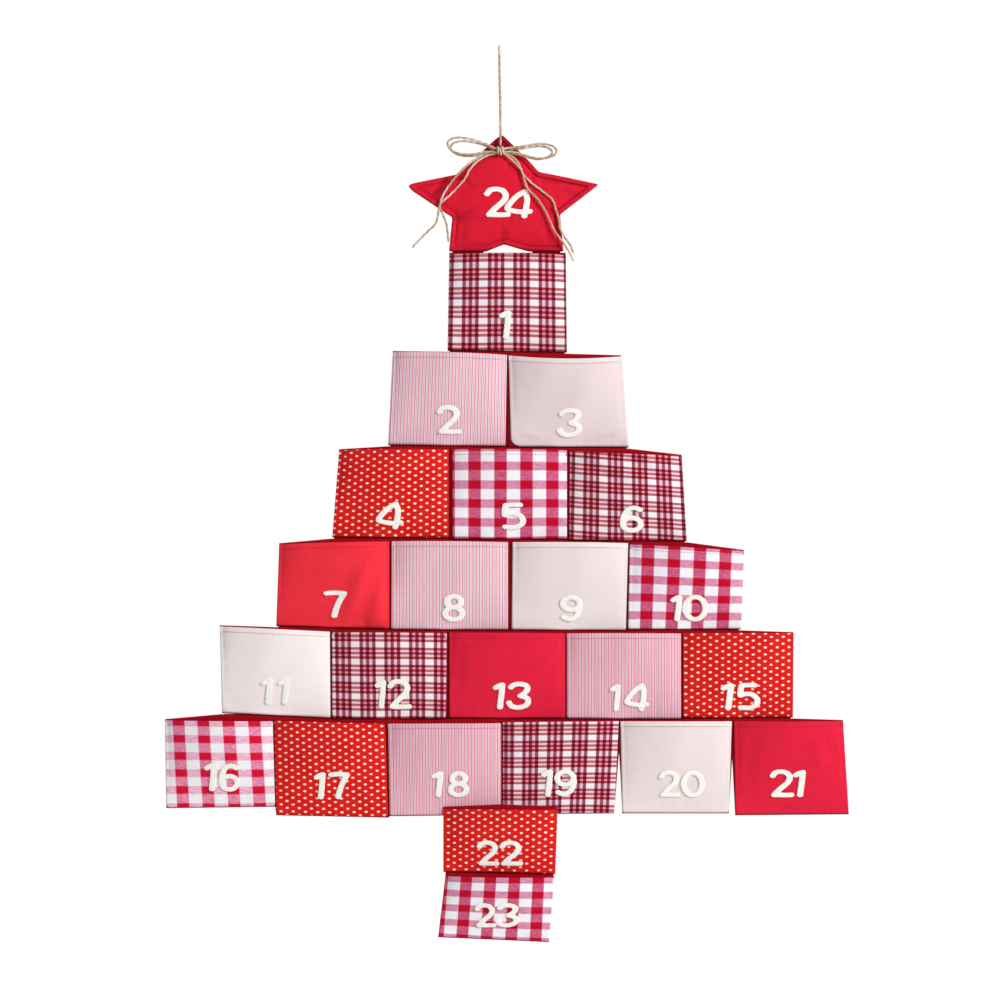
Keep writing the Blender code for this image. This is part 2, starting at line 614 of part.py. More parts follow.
def make_number(number, centre, carrier, material):
    """A felt number laid on its carrier, cut along the carrier's facets so it lies close."""
    outlines = number_outlines(number, centre)
    xs = [x for outline in outlines for x, _ in outline]
    zs = [z for outline in outlines for _, z in outline]
    cloth = cloth_tree(carrier)
    corners = [v.co for v in carrier.data.vertices]
    guides = set()
    for triangle in carrier.data.loop_triangles:
        a, b, c = (corners[i] for i in triangle.vertices)
        if (b - a).cross(c - a).y > -1e-12:
            continue
        for p, q in ((a, b), (b, c), (c, a)):
            if max(p.x, q.x) < min(xs) or min(p.x, q.x) > max(xs):
                continue
            if max(p.z, q.z) < min(zs) or min(p.z, q.z) > max(zs):
                continue
            guides.add(tuple(sorted(((p.x, p.z), (q.x, q.z)))))
    spots, tiles = tile_flat(outlines, guides=sorted(guides))
    viewer = -STAR_WIDTH

    def surface(x, z):
        hit = cloth.ray_cast(Vector((x, viewer, z)), Vector((0.0, 1.0, 0.0)))[0]
        return hit.y - CLEARANCE

    def front(x, z):
        return (x, surface(x, z) - FELT_THICKNESS, z)

    def back(x, z):
        return (x, surface(x, z), z)

    return add_slab(f"number_{number:02d}", spots, tiles, front, back, material)


def pocket_spot(number):
    """The centre of a pocket's number on the wall plane."""
    across, down = NUMBER_SHARES[number]
    top_left, top_right, low_left, low_right = corner_places(number)
    upper = [a + (b - a) * across for a, b in zip(top_left, top_right)]
    lower = [a + (b - a) * across for a, b in zip(low_left, low_right)]
    return tuple(a + (b - a) * down for a, b in zip(upper, lower))


def star_outline():
    """The star's outline with its points softened."""
    sharp = [(STAR_SHIFT + across * STAR_WIDTH, STAR_TIP_Z - down * STAR_HEIGHT)
             for across, down in STAR_SHARES]
    soles = {spot for spot, share in zip(sharp, STAR_SHARES) if share[1] == 1.0}
    return rounded(sharp, soles, STAR_TIP_ROUND, 3)


def make_star(front_cloth, back_cloth):
    """The star's two cloths: a flat back, and a front that swells out over its filling."""
    outline = star_outline()
    middle = (STAR_SHIFT + STAR_MIDDLE_SHARES[0] * STAR_WIDTH,
              STAR_TIP_Z - STAR_MIDDLE_SHARES[1] * STAR_HEIGHT)
    eyelet = [(EYELET_X + EYELET_RADIUS * math.cos(math.tau * k / 12),
               EYELET_Z - EYELET_SAG + EYELET_RADIUS * math.sin(math.tau * k / 12))
              for k in range(12)]
    spots, tiles = tile_flat([outline], holes=[eyelet])
    star_back = add_slab("star_back", spots, tiles,
                         lambda x, z: (x, BACKING_FACE_Y, z),
                         lambda x, z: (x, WALL_FACE_Y, z), back_cloth)

    rim = [Vector(p) - Vector(middle) for p in outline]

    def reach(x, z):
        """How far out a spot lies, from 0 in the middle to 1 on the outline."""
        arm = Vector((x, z)) - Vector(middle)
        best = 0.0
        for p, q in zip(rim, rim[1:] + rim[:1]):
            edge = q - p
            outward = Vector((edge.y, -edge.x)).normalized()
            if outward.dot(p) < 0:
                outward = -outward
            span = p.x * q.y - p.y * q.x
            first = p.x * arm.y - p.y * arm.x
            second = arm.x * q.y - arm.y * q.x
            if first * span >= 0 and second * span >= 0:
                best = max(best, outward.dot(arm) / outward.dot(p))
        return min(best, 1.0)

    def swell(x, z):
        if math.hypot(x - EYELET_X, z - EYELET_Z) < EYELET_DIMPLE:
            return 0.0
        return STAR_SWELL * math.sqrt(max(1.0 - reach(x, z) ** 2, 0.0))

    guides = []
    for share in STAR_RING_SHARES:
        ring = [(middle[0] + p.x * share, middle[1] + p.y * share) for p in rim]
        guides += list(zip(ring, ring[1:] + ring[:1]))
    spots, tiles = tile_flat([outline], holes=[eyelet], guides=guides)
    inner_y = BACKING_FACE_Y - CLEARANCE
    outer_y = inner_y - FRONT_THICKNESS
    star_front = add_slab("star_front", spots, tiles,
                          lambda x, z: (x, outer_y - swell(x, z), z),
                          lambda x, z: (x, inner_y, z), front_cloth)
    return star_front, star_back


def add_cord(name, path, material):
    """A round cord along closely spaced points."""
    curve = bpy.data.curves.new(name, "CURVE")
    curve.dimensions = "3D"
    spline = curve.splines.new("POLY")
    spline.points.add(len(path) - 1)
    for point, place in zip(spline.points, path):
        point.co = (*place, 1.0)
    curve.bevel_depth = TWINE_RADIUS
    curve.bevel_resolution = 2
    curve.use_fill_caps = True
    curve.materials.append(material)
    cord = bpy.data.objects.new(name, curve)
    bpy.context.scene.collection.objects.link(cord)
    return cord


def make_hanger(material):
    """The twine loop from the tie behind the eyelet, over the hook and back through it."""
    crown = TWINE_RADIUS - LOOP_RADIUS
    back = [(EYELET_X * across, LOOP_RADIUS * out, -HANGER_DROP * down)
            for across, out, down in HANGER_BACK_SHARES]
    top = [(0.0, LOOP_RADIUS * out, crown - LOOP_RADIUS * down)
           for out, down in HANGER_TOP_SHARES]
    front = [(EYELET_X * across, LOOP_RADIUS * out, -HANGER_DROP * down)
             for across, out, down in HANGER_FRONT_SHARES]
    bend = [(EYELET_X, LOOP_RADIUS * out, EYELET_Z + LOOP_RADIUS * up)
            for out, up in HANGER_EYELET_SHARES]
    knot_y = WALL_FACE_Y + CLEARANCE + HANGER_KNOT_RADIUS
    knot_top = EYELET_Z + HANGER_KNOT_RADIUS + CLEARANCE
    start = [(EYELET_X, knot_y, knot_top)]
    end = [(EYELET_X, WALL_FACE_Y, EYELET_Z)]
    route = start + back + top + front + bend + end
    loop = add_cord("hanger_twine", smooth_path(route, CORD_STEP), material)
    bpy.ops.mesh.primitive_uv_sphere_add(segments=12, ring_count=8, radius=HANGER_KNOT_RADIUS,
                                         location=(EYELET_X, knot_y, EYELET_Z))
    knot = bpy.context.object
    knot.name = "hanger_knot"
    knot.data.materials.append(material)
    knot.data.shade_smooth()
    return loop, knot


def laid_path(route, step, cloths, off_cloth_y, lift):
    """A flat route laid over the cloths, lifted by its layer and eased over their edges."""
    path = smooth_path(route, step)
    ways = np.array([-TWINE_RADIUS, 0.0, TWINE_RADIUS])
    found = []
    for x, _, z in path:
        nearest = off_cloth_y
        for cloth in cloths:
            for dx in ways:
                for dz in ways:
                    ray = cloth.ray_cast(Vector((x + dx, -STAR_WIDTH, z + dz)), Vector((0, 1, 0)))
                    if ray[0] is not None:
                        nearest = min(nearest, ray[0].y)
        found.append(nearest)
    padded = found[:1] + found + found[-1:]
    outmost = [min(padded[i:i + 3]) for i in range(len(found))]
    padded = outmost[:1] + outmost + outmost[-1:]
    eased = [sum(padded[i:i + 3]) / 3 for i in range(len(found))]
    return [(x, y - CLEARANCE - TWINE_RADIUS - lift, z) for (x, _, z), y in zip(path, eased)]


def make_bow(star_front, material):
    """The tied bow: its knot, two doubled loops and four tails, joined where they are tied."""
    bpy.ops.mesh.primitive_uv_sphere_add(segments=16, ring_count=10, radius=0.5)
    knot = bpy.context.object
    knot.name = "bow"
    knot_z = EYELET_Z - BOW_KNOT_DROP
    cloth = cloth_tree(star_front)
    reach = BOW_KNOT_WIDTH / 2
    spots = [cloth.ray_cast(Vector((EYELET_X + dx, -STAR_WIDTH, knot_z + dz)), Vector((0, 1, 0)))
             for dx in (-reach, 0, reach) for dz in (-reach, 0, reach)]
    star_face = min(spot[0].y for spot in spots if spot[0] is not None)
    knot_y = star_face - CLEARANCE - BOW_KNOT_DEPTH / 2
    size = Vector((BOW_KNOT_WIDTH, BOW_KNOT_DEPTH, BOW_KNOT_HEIGHT))
    for vertex in knot.data.vertices:
        vertex.co = Vector((EYELET_X, knot_y, knot_z)) + vertex.co * size
    knot.data.materials.append(material)
    knot.data.shade_smooth()
    for name, route in {**BOW_LOOPS, **BOW_TAILS}.items():
        step = CORD_STEP if name in BOW_LOOPS else TAIL_STEP
        lift = LAYERS[name] * TWINE_DIAMETER
        path = laid_path(route, step, [cloth], star_face, lift)
        cord = add_cord(name, path, material)
        graph = bpy.context.evaluated_depsgraph_get()
        mesh = bpy.data.meshes.new_from_object(cord.evaluated_get(graph))
        bpy.data.objects.remove(cord)
        strand = bpy.data.objects.new(name, mesh)
        bpy.context.scene.collection.objects.link(strand)
        strand.hide_render = True
        strand.display_type = "WIRE"
        union = knot.modifiers.new(name, "BOOLEAN")
        union.operation = "UNION"
        union.solver = "EXACT"
        union.object = strand
    return knot


def build():
    """Model the whole calendar."""
    for old in list(bpy.data.objects):
        bpy.data.objects.remove(old)
    cloths = {name: make_material(name) for name in FABRICS}
    for index in range(len(ROWS)):
        make_backing(index, cloths["lining"])
    for fabric, numbers in POCKET_FABRICS.items():
        for number in numbers:
            front = make_front(number, cloths[fabric])
            make_number(number, pocket_spot(number), front, cloths["felt"])
    star_front, _ = make_star(cloths["red"], cloths["lining"])
    star_spot = (STAR_SHIFT + STAR_NUMBER_SHARES[0] * STAR_WIDTH,
                 STAR_TIP_Z - STAR_NUMBER_SHARES[1] * STAR_HEIGHT)
    make_number(24, star_spot, star_front, cloths["felt"])
    make_hanger(cloths["twine"])
    make_bow(star_front, cloths["twine"])


build()
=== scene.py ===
"""A fabric advent calendar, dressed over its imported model.

A tree of numbered cloth pockets hangs below a padded star on a loop of jute twine. Sizes
are in metres in the model's own frame: the origin is where the loop bears on its hook, +X
runs to the viewer's right, +Z up, and the pockets face -Y.
"""
import json
import math

import bmesh
import bpy
import numpy as np
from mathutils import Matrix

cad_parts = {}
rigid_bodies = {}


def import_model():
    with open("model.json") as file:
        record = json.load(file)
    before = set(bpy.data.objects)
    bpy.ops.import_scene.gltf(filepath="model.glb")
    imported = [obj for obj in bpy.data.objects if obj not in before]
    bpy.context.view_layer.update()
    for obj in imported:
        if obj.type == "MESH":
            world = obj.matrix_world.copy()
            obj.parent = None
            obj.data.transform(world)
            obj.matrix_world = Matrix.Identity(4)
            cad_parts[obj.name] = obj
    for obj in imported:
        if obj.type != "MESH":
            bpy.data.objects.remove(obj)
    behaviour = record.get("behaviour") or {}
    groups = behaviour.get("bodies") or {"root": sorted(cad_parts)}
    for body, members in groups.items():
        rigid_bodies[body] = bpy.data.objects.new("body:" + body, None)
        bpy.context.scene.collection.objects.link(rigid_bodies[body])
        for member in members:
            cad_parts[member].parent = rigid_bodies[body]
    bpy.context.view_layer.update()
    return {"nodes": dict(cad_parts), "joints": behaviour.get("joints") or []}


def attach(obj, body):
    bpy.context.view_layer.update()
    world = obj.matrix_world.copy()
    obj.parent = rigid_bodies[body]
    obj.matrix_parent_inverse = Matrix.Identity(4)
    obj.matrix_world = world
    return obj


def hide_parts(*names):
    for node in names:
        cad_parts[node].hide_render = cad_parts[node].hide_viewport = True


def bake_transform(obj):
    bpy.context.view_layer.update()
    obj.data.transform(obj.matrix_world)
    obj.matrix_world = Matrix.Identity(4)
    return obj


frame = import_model()
MM = 0.001


# The camera stands straight in front of the hanging tree, far off, as in the photograph.
# Its picture is one metre of cloth across.
PICTURE_SPAN = 1.0
PICTURE_CENTRE = (0.0006, -0.4526)
LENS, SENSOR = 110.0, 36.0

scene = bpy.context.scene
camera = bpy.data.objects.new("camera", bpy.data.cameras.new("camera"))
camera.data.lens = LENS
camera.data.sensor_width = SENSOR
camera.location = (PICTURE_CENTRE[0], -PICTURE_SPAN * LENS / SENSOR, PICTURE_CENTRE[1])
camera.rotation_euler = (math.pi / 2, 0.0, 0.0)
scene.collection.objects.link(camera)
scene.camera = camera
scene.view_settings.view_transform = "Standard"


# The hanging loop is one piece of two-ply jute twine. It starts at the tie behind the
# star's eyelet, runs up over the hook, down in front and back through the eyelet.
TWINE_DIAMETER = 2.4 * MM
PLY_TWIST = 7.0 * MM
PLY_GROOVE = 0.22
RING_POINTS = 18
RING_SPACING = 0.55 * MM
HANGER_ROUTE = (
    (1.1, 4.6, -95.5), (1.1, 4.84, -88.7), (1.1, 5.2, -73), (1, 5.5, -54.2),
    (0.55, 5.46, -35.5), (0.22, 5.3, -18.7), (0, 5.2, -4), (0, 5.04, -1.66),
    (0, 3.74, 0.06), (0, 0, 1.2), (0, -3.74, 0.06), (0, -5.04, -1.66),
    (0, -5.2, -4), (0.11, -5.3, -18.7), (0.33, -5.41, -35.5), (0.77, -5.3, -54.2),
    (1, -5.2, -73), (1.1, -5.2, -86.8), (1.1, -5.04, -94.96), (1.1, -3.74, -97.04),
    (1.1, -1.98, -98.24), (1.1, 0, -98.6), (1.1, 1.5, -98.6),
)


def srgb(red, green, blue):
    """A colour written as it looks on a screen, 0 to 255, as the linear light it stands for."""
    shares = np.array([red, green, blue]) / 255
    return tuple(np.where(shares < 0.04045, shares / 12.92, ((shares + 0.055) / 1.055) ** 2.4))


def run_along(path):
    """Length run from a path's start to each of its points."""
    return np.concatenate([[0], np.cumsum(np.linalg.norm(np.diff(path, axis=0), axis=1))])


def unit(vectors):
    """The same directions at length 1."""
    return vectors / np.linalg.norm(vectors, axis=-1, keepdims=True)


def along(marks, run, points):
    """Points at given lengths along a path whose points lie at the lengths run."""
    return np.stack([np.interp(marks, run, points[:, k]) for k in range(points.shape[1])], -1)


def smooth_route(points, spacing):
    """Points at even spacing on the curve through the given ones. Each stretch is the cubic
    that leaves a point with half the step between the points on its two sides."""
    knots = np.array(points, float)
    knots = np.vstack([2 * knots[0] - knots[1], knots, 2 * knots[-1] - knots[-2]])
    a, b, c, d = (knots[i:len(knots) - 3 + i][:, None] for i in range(4))
    t = np.linspace(0, 1, 24, endpoint=False)[None, :, None]
    curve = 0.5 * (2 * b + (c - a) * t + (2 * a - 5 * b + 4 * c - d) * t ** 2
                   + (3 * b - a - 3 * c + d) * t ** 3)
    curve = np.vstack([curve.reshape(-1, knots.shape[1]), knots[-2]])
    run = run_along(curve)
    marks = np.linspace(0, run[-1], max(8, int(run[-1] / spacing)))
    return along(marks, run, curve)


def quads(rows, columns, wrap=False):
    """Faces of a grid stored row by row: each joins a point to the one below, right of that,
    and right of itself. A wrapped grid also joins its last column to its first."""
    row, column = np.mgrid[:rows - 1, :columns - (0 if wrap else 1)]
    right = (column + 1) % columns
    return np.stack([row * columns + column, (row + 1) * columns + column,
                     (row + 1) * columns + right, row * columns + right], -1).reshape(-1, 4)


def add_piece(name, points, faces, material, uv=None, flat=False):
    """Make one mesh piece at the origin, with the cloth's own coordinates as its UV map."""
    mesh = bpy.data.meshes.new(name)
    mesh.from_pydata(np.asarray(points).reshape(-1, 3).tolist(), [], [list(f) for f in faces])
    if uv is not None:
        corner = np.empty(len(mesh.loops), np.int32)
        mesh.loops.foreach_get("vertex_index", corner)
        layer = mesh.uv_layers.new(name="cloth")
        layer.data.foreach_set("uv", np.asarray(uv).reshape(-1, 2)[corner].ravel())
    if not flat:
        mesh.shade_smooth()
    mesh.materials.append(material)
    piece = bpy.data.objects.new(name, mesh)
    scene.collection.objects.link(piece)
    return piece


def swept_twine(name, path, diameter, reference, material):
    """A two-ply cord along a path. Round the path its radius is R (1 - g + g |cos(a + w s)|),
    where a goes round, s is the length run and w the twist, and its ends close to a point."""
    tangent = unit(np.gradient(path, axis=0))
    side = unit(np.cross(tangent, np.array(reference, float)))
    other = np.cross(tangent, side)
    run = run_along(path)
    around = np.linspace(0, 2 * math.pi, RING_POINTS, endpoint=False)
    turned = around[None, :] + run[:, None] * 2 * math.pi / PLY_TWIST / 2
    radius = diameter / 2 * (1 - PLY_GROOVE + PLY_GROOVE * np.abs(np.cos(turned)))
    close = np.minimum(run, run[-1] - run)[:, None] / (diameter / 2)
    radius *= np.sqrt(1 - (1 - np.clip(close, 0.02, 1)) ** 2)
    rings = (path[:, None] + radius[..., None] * (np.cos(around)[None, :, None] * side[:, None]
                                                  + np.sin(around)[None, :, None] * other[:, None]))
    faces = quads(len(path), RING_POINTS, wrap=True)
    last = (len(path) - 1) * RING_POINTS
    caps = [list(range(RING_POINTS)), [last + RING_POINTS - 1 - i for i in range(RING_POINTS)]]
    uv = np.stack(np.broadcast_arrays(around[None, :] / (2 * math.pi),
                                      run[:, None] / PLY_TWIST), -1)
    piece = add_piece(name, rings, faces.tolist() + caps, material, uv)
    point_out(piece)
    return piece


def point_out(piece):
    """Turn a closed piece's faces so that all of them point outwards."""
    shell = bmesh.new()
    shell.from_mesh(piece.data)
    bmesh.ops.recalc_face_normals(shell, faces=shell.faces)
    shell.to_mesh(piece.data)
    shell.free()


def dress(piece, slot, body, *nodes):
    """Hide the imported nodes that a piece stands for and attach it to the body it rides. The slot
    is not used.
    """
    if nodes:
        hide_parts(*nodes)
    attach(piece, body)


def new_material(name, roughness, sheen=0.0, sheen_roughness=0.5):
    """A material with its Principled shader, and the sockets that are the same all over."""
    material = bpy.data.materials.new(name)
    material.use_nodes = True
    tree = material.node_tree
    shader = tree.nodes["Principled BSDF"]
    shader.inputs["Roughness"].default_value = roughness
    shader.inputs["Specular IOR Level"].default_value = 0.09
    shader.inputs["Sheen Weight"].default_value = sheen
    shader.inputs["Sheen Roughness"].default_value = sheen_roughness
    return material, tree, shader


def maths(tree, operation, *values, clamp=False):
    """One Math node; each value is a number or another node's output."""
    node = tree.nodes.new("ShaderNodeMath")
    node.operation = operation
    node.use_clamp = clamp
    for socket, value in zip(node.inputs, values):
        if isinstance(value, (int, float)):
            socket.default_value = value
        else:
            tree.links.new(value, socket)
    return node.outputs[0]


def contrast(tree, value, low, gain):
    """(value - low) times gain, kept between 0 and 1."""
    return maths(tree, "MULTIPLY", maths(tree, "SUBTRACT", value, low), gain, clamp=True)


def tinted(colour, share):
    """A colour made darker or lighter by a share."""
    return tuple(part * share for part in colour)


def mixed(tree, share, first, second, blend="MIX"):
    """Mix two colours; each is a colour or another node's output."""
    node = tree.nodes.new("ShaderNodeMix")
    node.data_type = "RGBA"
    node.blend_type = blend
    for place, value in zip((0, 6, 7), (share, first, second)):
        socket = node.inputs[place]
        if isinstance(value, (int, float)):
            socket.default_value = value
        elif isinstance(value, tuple):
            socket.default_value = (*value, 1.0)
        else:
            tree.links.new(value, socket)
    return node.outputs[2]


def noise(tree, vector, scale, detail=2.0, roughness=0.5, stretch=(1.0, 1.0, 1.0)):
    """Soft noise from 0 to 1, its coordinates stretched first."""
    mapping = tree.nodes.new("ShaderNodeMapping")
    mapping.inputs["Scale"].default_value = stretch
    tree.links.new(vector, mapping.inputs["Vector"])
    node = tree.nodes.new("ShaderNodeTexNoise")
    node.inputs["Scale"].default_value = scale
    node.inputs["Detail"].default_value = detail
    node.inputs["Roughness"].default_value = roughness
    tree.links.new(mapping.outputs[0], node.inputs["Vector"])
    return node.outputs["Fac"]


def place_on(tree, kind="Object"):
    """The point's place on the object, or on its UV map, whole and as its parts."""
    place = tree.nodes.new("ShaderNodeTexCoord").outputs[kind]
    parts = tree.nodes.new("ShaderNodeSeparateXYZ")
    tree.links.new(place, parts.inputs[0])
    return place, parts.outputs


def bump(tree, shader, height, strength, distance):
    """Raise the surface by a height from 0 to 1 over a distance."""
    node = tree.nodes.new("ShaderNodeBump")
    node.inputs["Strength"].default_value = strength
    node.inputs["Distance"].default_value = distance
    tree.links.new(height, node.inputs["Height"])
    tree.links.new(node.outputs[0], shader.inputs["Normal"])


def make_jute():
    """Jute: straw and brown fibres run along the ply, with shade painted darker into the groove
    between plies.
    """
    material, tree, shader = new_material("jute_twine", 0.92, sheen=0.25)
    twine, parts = place_on(tree, "UV")
    turn = maths(tree, "ADD", parts[0], maths(tree, "MULTIPLY", parts[1], 0.5))
    ply = maths(tree, "ABSOLUTE", maths(tree, "COSINE", maths(tree, "MULTIPLY", turn, 2 * math.pi)))
    fibres = noise(tree, twine, 6.0, detail=4.0, stretch=(5.0, 1.2, 1.0))
    place, _ = place_on(tree)
    patches = noise(tree, place, 55.0, detail=3.0)
    dark = srgb(120, 86, 60)
    colour = mixed(tree, contrast(tree, fibres, 0.3, 2.4), dark, srgb(255, 222, 184))
    colour = mixed(tree, contrast(tree, patches, 0.42, 3.0), colour, srgb(255, 244, 222))
    # Painted shade in the groove between the plies
    groove_shade = maths(tree, "POWER", maths(tree, "SUBTRACT", 1.0, ply), 2.0)
    groove_shade = maths(tree, "SUBTRACT", 1.0, groove_shade)
    colour = mixed(tree, groove_shade, mixed(tree, 0.8, colour, dark), colour)
    tree.links.new(colour, shader.inputs["Base Color"])
    bump(tree, shader, fibres, 0.5, 0.0004)
    return material


jute = make_jute()
hanger_path = smooth_route(np.array(HANGER_ROUTE) * MM, RING_SPACING)
hanger_loop = swept_twine("hanger_loop", hanger_path, TWINE_DIAMETER, (1, 0, 0), jute)
dress(hanger_loop, "twine", "hanger", "hanger_twine")


FIBRES_PER_CM = 2.6
FIBRE_LENGTH = 4.5 * MM
FIBRE_RADIUS = 0.055 * MM
FIBRE_RINGS, FIBRE_SIDES = 5, 3


def stray_fibres(name, path, diameter, seed, body):
    """Loose jute fibres: each leaves the twine at a slant and curls, as the point p + r n + l t
    (t + k n) for t from 0 to 1, a three-sided spike that thins to its end."""
    chance = np.random.default_rng(seed)
    count = max(4, int(run_along(path)[-1] * 100 * FIBRES_PER_CM))
    spots = chance.integers(2, len(path) - 2, count)
    tangent = unit(path[spots + 1] - path[spots - 1]) * chance.choice([-1.0, 1.0], count)[:, None]
    outward = unit(np.cross(tangent, chance.normal(size=(count, 3))))
    aside = np.cross(tangent, outward)
    length = FIBRE_LENGTH * chance.uniform(0.35, 1.0, count)[:, None, None]
    rise = chance.uniform(0.1, 0.55, count)[:, None, None]
    curl = chance.uniform(-0.25, 0.25, count)[:, None, None]
    t = np.linspace(0, 1, FIBRE_RINGS)[None, :, None]
    spine = (path[spots][:, None] + outward[:, None] * diameter * 0.36
             + length * (t * tangent[:, None] + rise * t ** 1.5 * outward[:, None]
                         + curl * t ** 2 * aside[:, None]))
    around = np.linspace(0, 2 * math.pi, FIBRE_SIDES, endpoint=False)
    ring = (np.cos(around)[None, None, :, None] * outward[:, None, None]
            + np.sin(around)[None, None, :, None] * aside[:, None, None])
    points = spine[:, :, None] + FIBRE_RADIUS * (1.05 - t[..., None]) * ring
    size = FIBRE_RINGS * FIBRE_SIDES
    offsets = np.arange(count)[:, None, None] * size
    side = np.arange(FIBRE_SIDES)
    faces = (quads(FIBRE_RINGS, FIBRE_SIDES, wrap=True)[None] + offsets).reshape(-1, 4).tolist()
    caps = (np.stack([side, size - 1 - side])[None] + offsets).reshape(-1, FIBRE_SIDES).tolist()
    piece = add_piece(name, points, faces + caps, jute, np.zeros((count * size, 2)) + 0.5)
    point_out(piece)
    dress(piece, "twine", body)
    return piece


# The tie behind the eyelet keeps the loop from pulling through: an overhand knot, wound
# as the curve (sin t + 2 sin 2t, cos t - 2 cos 2t, -sin 3t).
TIE_CENTRE = (1.1 * MM, 4.6 * MM, -98.6 * MM)
TIE_SIZE = 0.62 * MM
TIE_TWINE = 1.9 * MM

tie_turn = np.linspace(0, 2 * math.pi, 120)
tie_path = np.stack([np.sin(tie_turn) + 2 * np.sin(2 * tie_turn), -np.sin(3 * tie_turn),
                     np.cos(tie_turn) - 2 * np.cos(2 * tie_turn)], 1) * TIE_SIZE + TIE_CENTRE
hanger_tie = swept_twine("hanger_tie", tie_path, TIE_TWINE, (0.2, 1, 0.1), jute)
dress(hanger_tie, "twine", "hanger", "hanger_knot")
hanger_fibres = stray_fibres("hanger_fibres", hanger_path, TWINE_DIAMETER, 5, "hanger")


# The star is two red cotton cloths sewn together, turned and lightly stuffed. Its seam
# stands as a narrow ridge outside a row of topstitching, and its legs end in the hem below.
STAR_OUTLINE = (
    (3.1, -87.6), (16.6, -100.6), (31.6, -115.6), (39.1, -124.4), (67, -129.9),
    (99.6, -136.9), (80, -152.2), (60.6, -167.1), (62.6, -187.6), (64.1, -204.2),
    (29.6, -204.2), (17, -200.6), (4.6, -196.9), (-4, -200.4), (-13.6, -204.2),
    (-50.4, -204.2), (-48.9, -187.6), (-47.1, -170), (-64.4, -158.6), (-87.4, -143.2),
    (-91.4, -138.4), (-87.4, -136.1), (-64, -131.3), (-41.9, -126.9), (-26.4, -113.1),
    (-18.4, -105.3), (-9.4, -96.6), (-1.4, -89.8),
)
STAR_MIDDLE = (3.7 * MM, -159.0 * MM)
STAR_SPACING = 0.8 * MM
STAR_BACK_Y = 1.4 * MM
STAR_SEAM_Y = 0.2 * MM
SEAM_RIDGE = 5.0 * MM
RIDGE_HEIGHT = 1.7 * MM
SEAM_STEP, SEAM_STEP_RUN = 1.5 * MM, 2.6 * MM
CREASE_ROOM = 2.0 * MM
STUFF_LOW, STUFF_HIGH, STUFF_STEP = (-94 * MM, -206 * MM), (103 * MM, -86 * MM), 1.8 * MM
STUFF_PRESSURE, STUFF_SLACK, STUFF_STEPS, STUFF_CAP = 20.0, 0.006, 24, 8.5 * MM
STUFF_MASS, STUFF_STIFFNESS = 0.02, 0.3
EYELET = (1.1 * MM, -99.9 * MM)
EYELET_RADIUS = 2.3 * MM
# Creases of the star's cloth: two ends across and up, width and depth
STAR_CREASES = (
    (-52, -130, -69, -154, 2.8, 2.4), (-42, -172, -12, -173, 3.5, 0.8),
    (42, -133, 92, -139, 2.4, 0.9), (-45, -171, -20, -160, 3, 1), (59, -167, 36, -156, 3.4, 1.1),
    (-41, -128, -24, -143, 3, 0.9), (38, -125, 26, -142, 3, 1), (4, -196, 3, -178, 3.4, 1.1),
    (-72, -150, -52, -140, 2.6, 1.1), (-62, -157, -46, -146, 2.2, 0.9),
    (-82, -143, -66, -138, 2, 0.7), (78, -148, 58, -141, 2.6, 0.8),
    (-38, -196, -34, -174, 3, 0.7), (50, -196, 44, -176, 3, 0.7), (14, -108, 8, -124, 2.6, 0.8),
)


def closed_outline(points, spacing, window):
    """Points at even spacing round a polygon, each then the mean of its window, so that the
    corners come out round."""
    ring = np.vstack([points, points[:1]])
    run = run_along(ring)
    marks = np.arange(0, run[-1], spacing)
    even = along(marks, run, ring)
    shifts = range(-window, window + 1)
    return sum(np.roll(even, shift, axis=0) for shift in shifts) / len(shifts)


star_ring = closed_outline(np.array(STAR_OUTLINE) * MM, STAR_SPACING, 2)
star_arm = star_ring - STAR_MIDDLE
star_angle = np.unwrap(np.arctan2(star_arm[:, 1], star_arm[:, 0]))[::-1]
star_radius = np.linalg.norm(star_arm, axis=1)[::-1]


def star_reach(x, z):
    """Share of the way from the star's middle to its edge, 1 on the edge."""
    dx, dz = x - STAR_MIDDLE[0], z - STAR_MIDDLE[1]
    angle = star_angle[0] + np.mod(np.arctan2(dz, dx) - star_angle[0], 2 * math.pi)
    edge = np.interp(angle, star_angle, star_radius, period=2 * math.pi)
    return np.hypot(dx, dz) / edge


def bell(off, width):
    """exp(-(d / w)^2): 1 on a line, falling to a third at one width off it."""
    return np.exp(-(off / width) ** 2)


def segment_gap(x, z, x0, z0, x1, z1):
    """Distance from points to a straight piece of line, and the share run along it."""
    dx, dz = x1 - x0, z1 - z0
    share = np.clip(((x - x0) * dx + (z - z0) * dz) / (dx * dx + dz * dz), 0, 1)
    return np.hypot(x - x0 - share * dx, z - z0 - share * dz), share


def edge_gap(x, z):
    """Distance from points to the star's outline, the least of those to its short pieces."""
    ends = np.roll(star_ring, -1, axis=0)
    gap, _ = segment_gap(x[..., None], z[..., None], star_ring[:, 0], star_ring[:, 1],
                         ends[:, 0], ends[:, 1])
    return gap.min(-1)


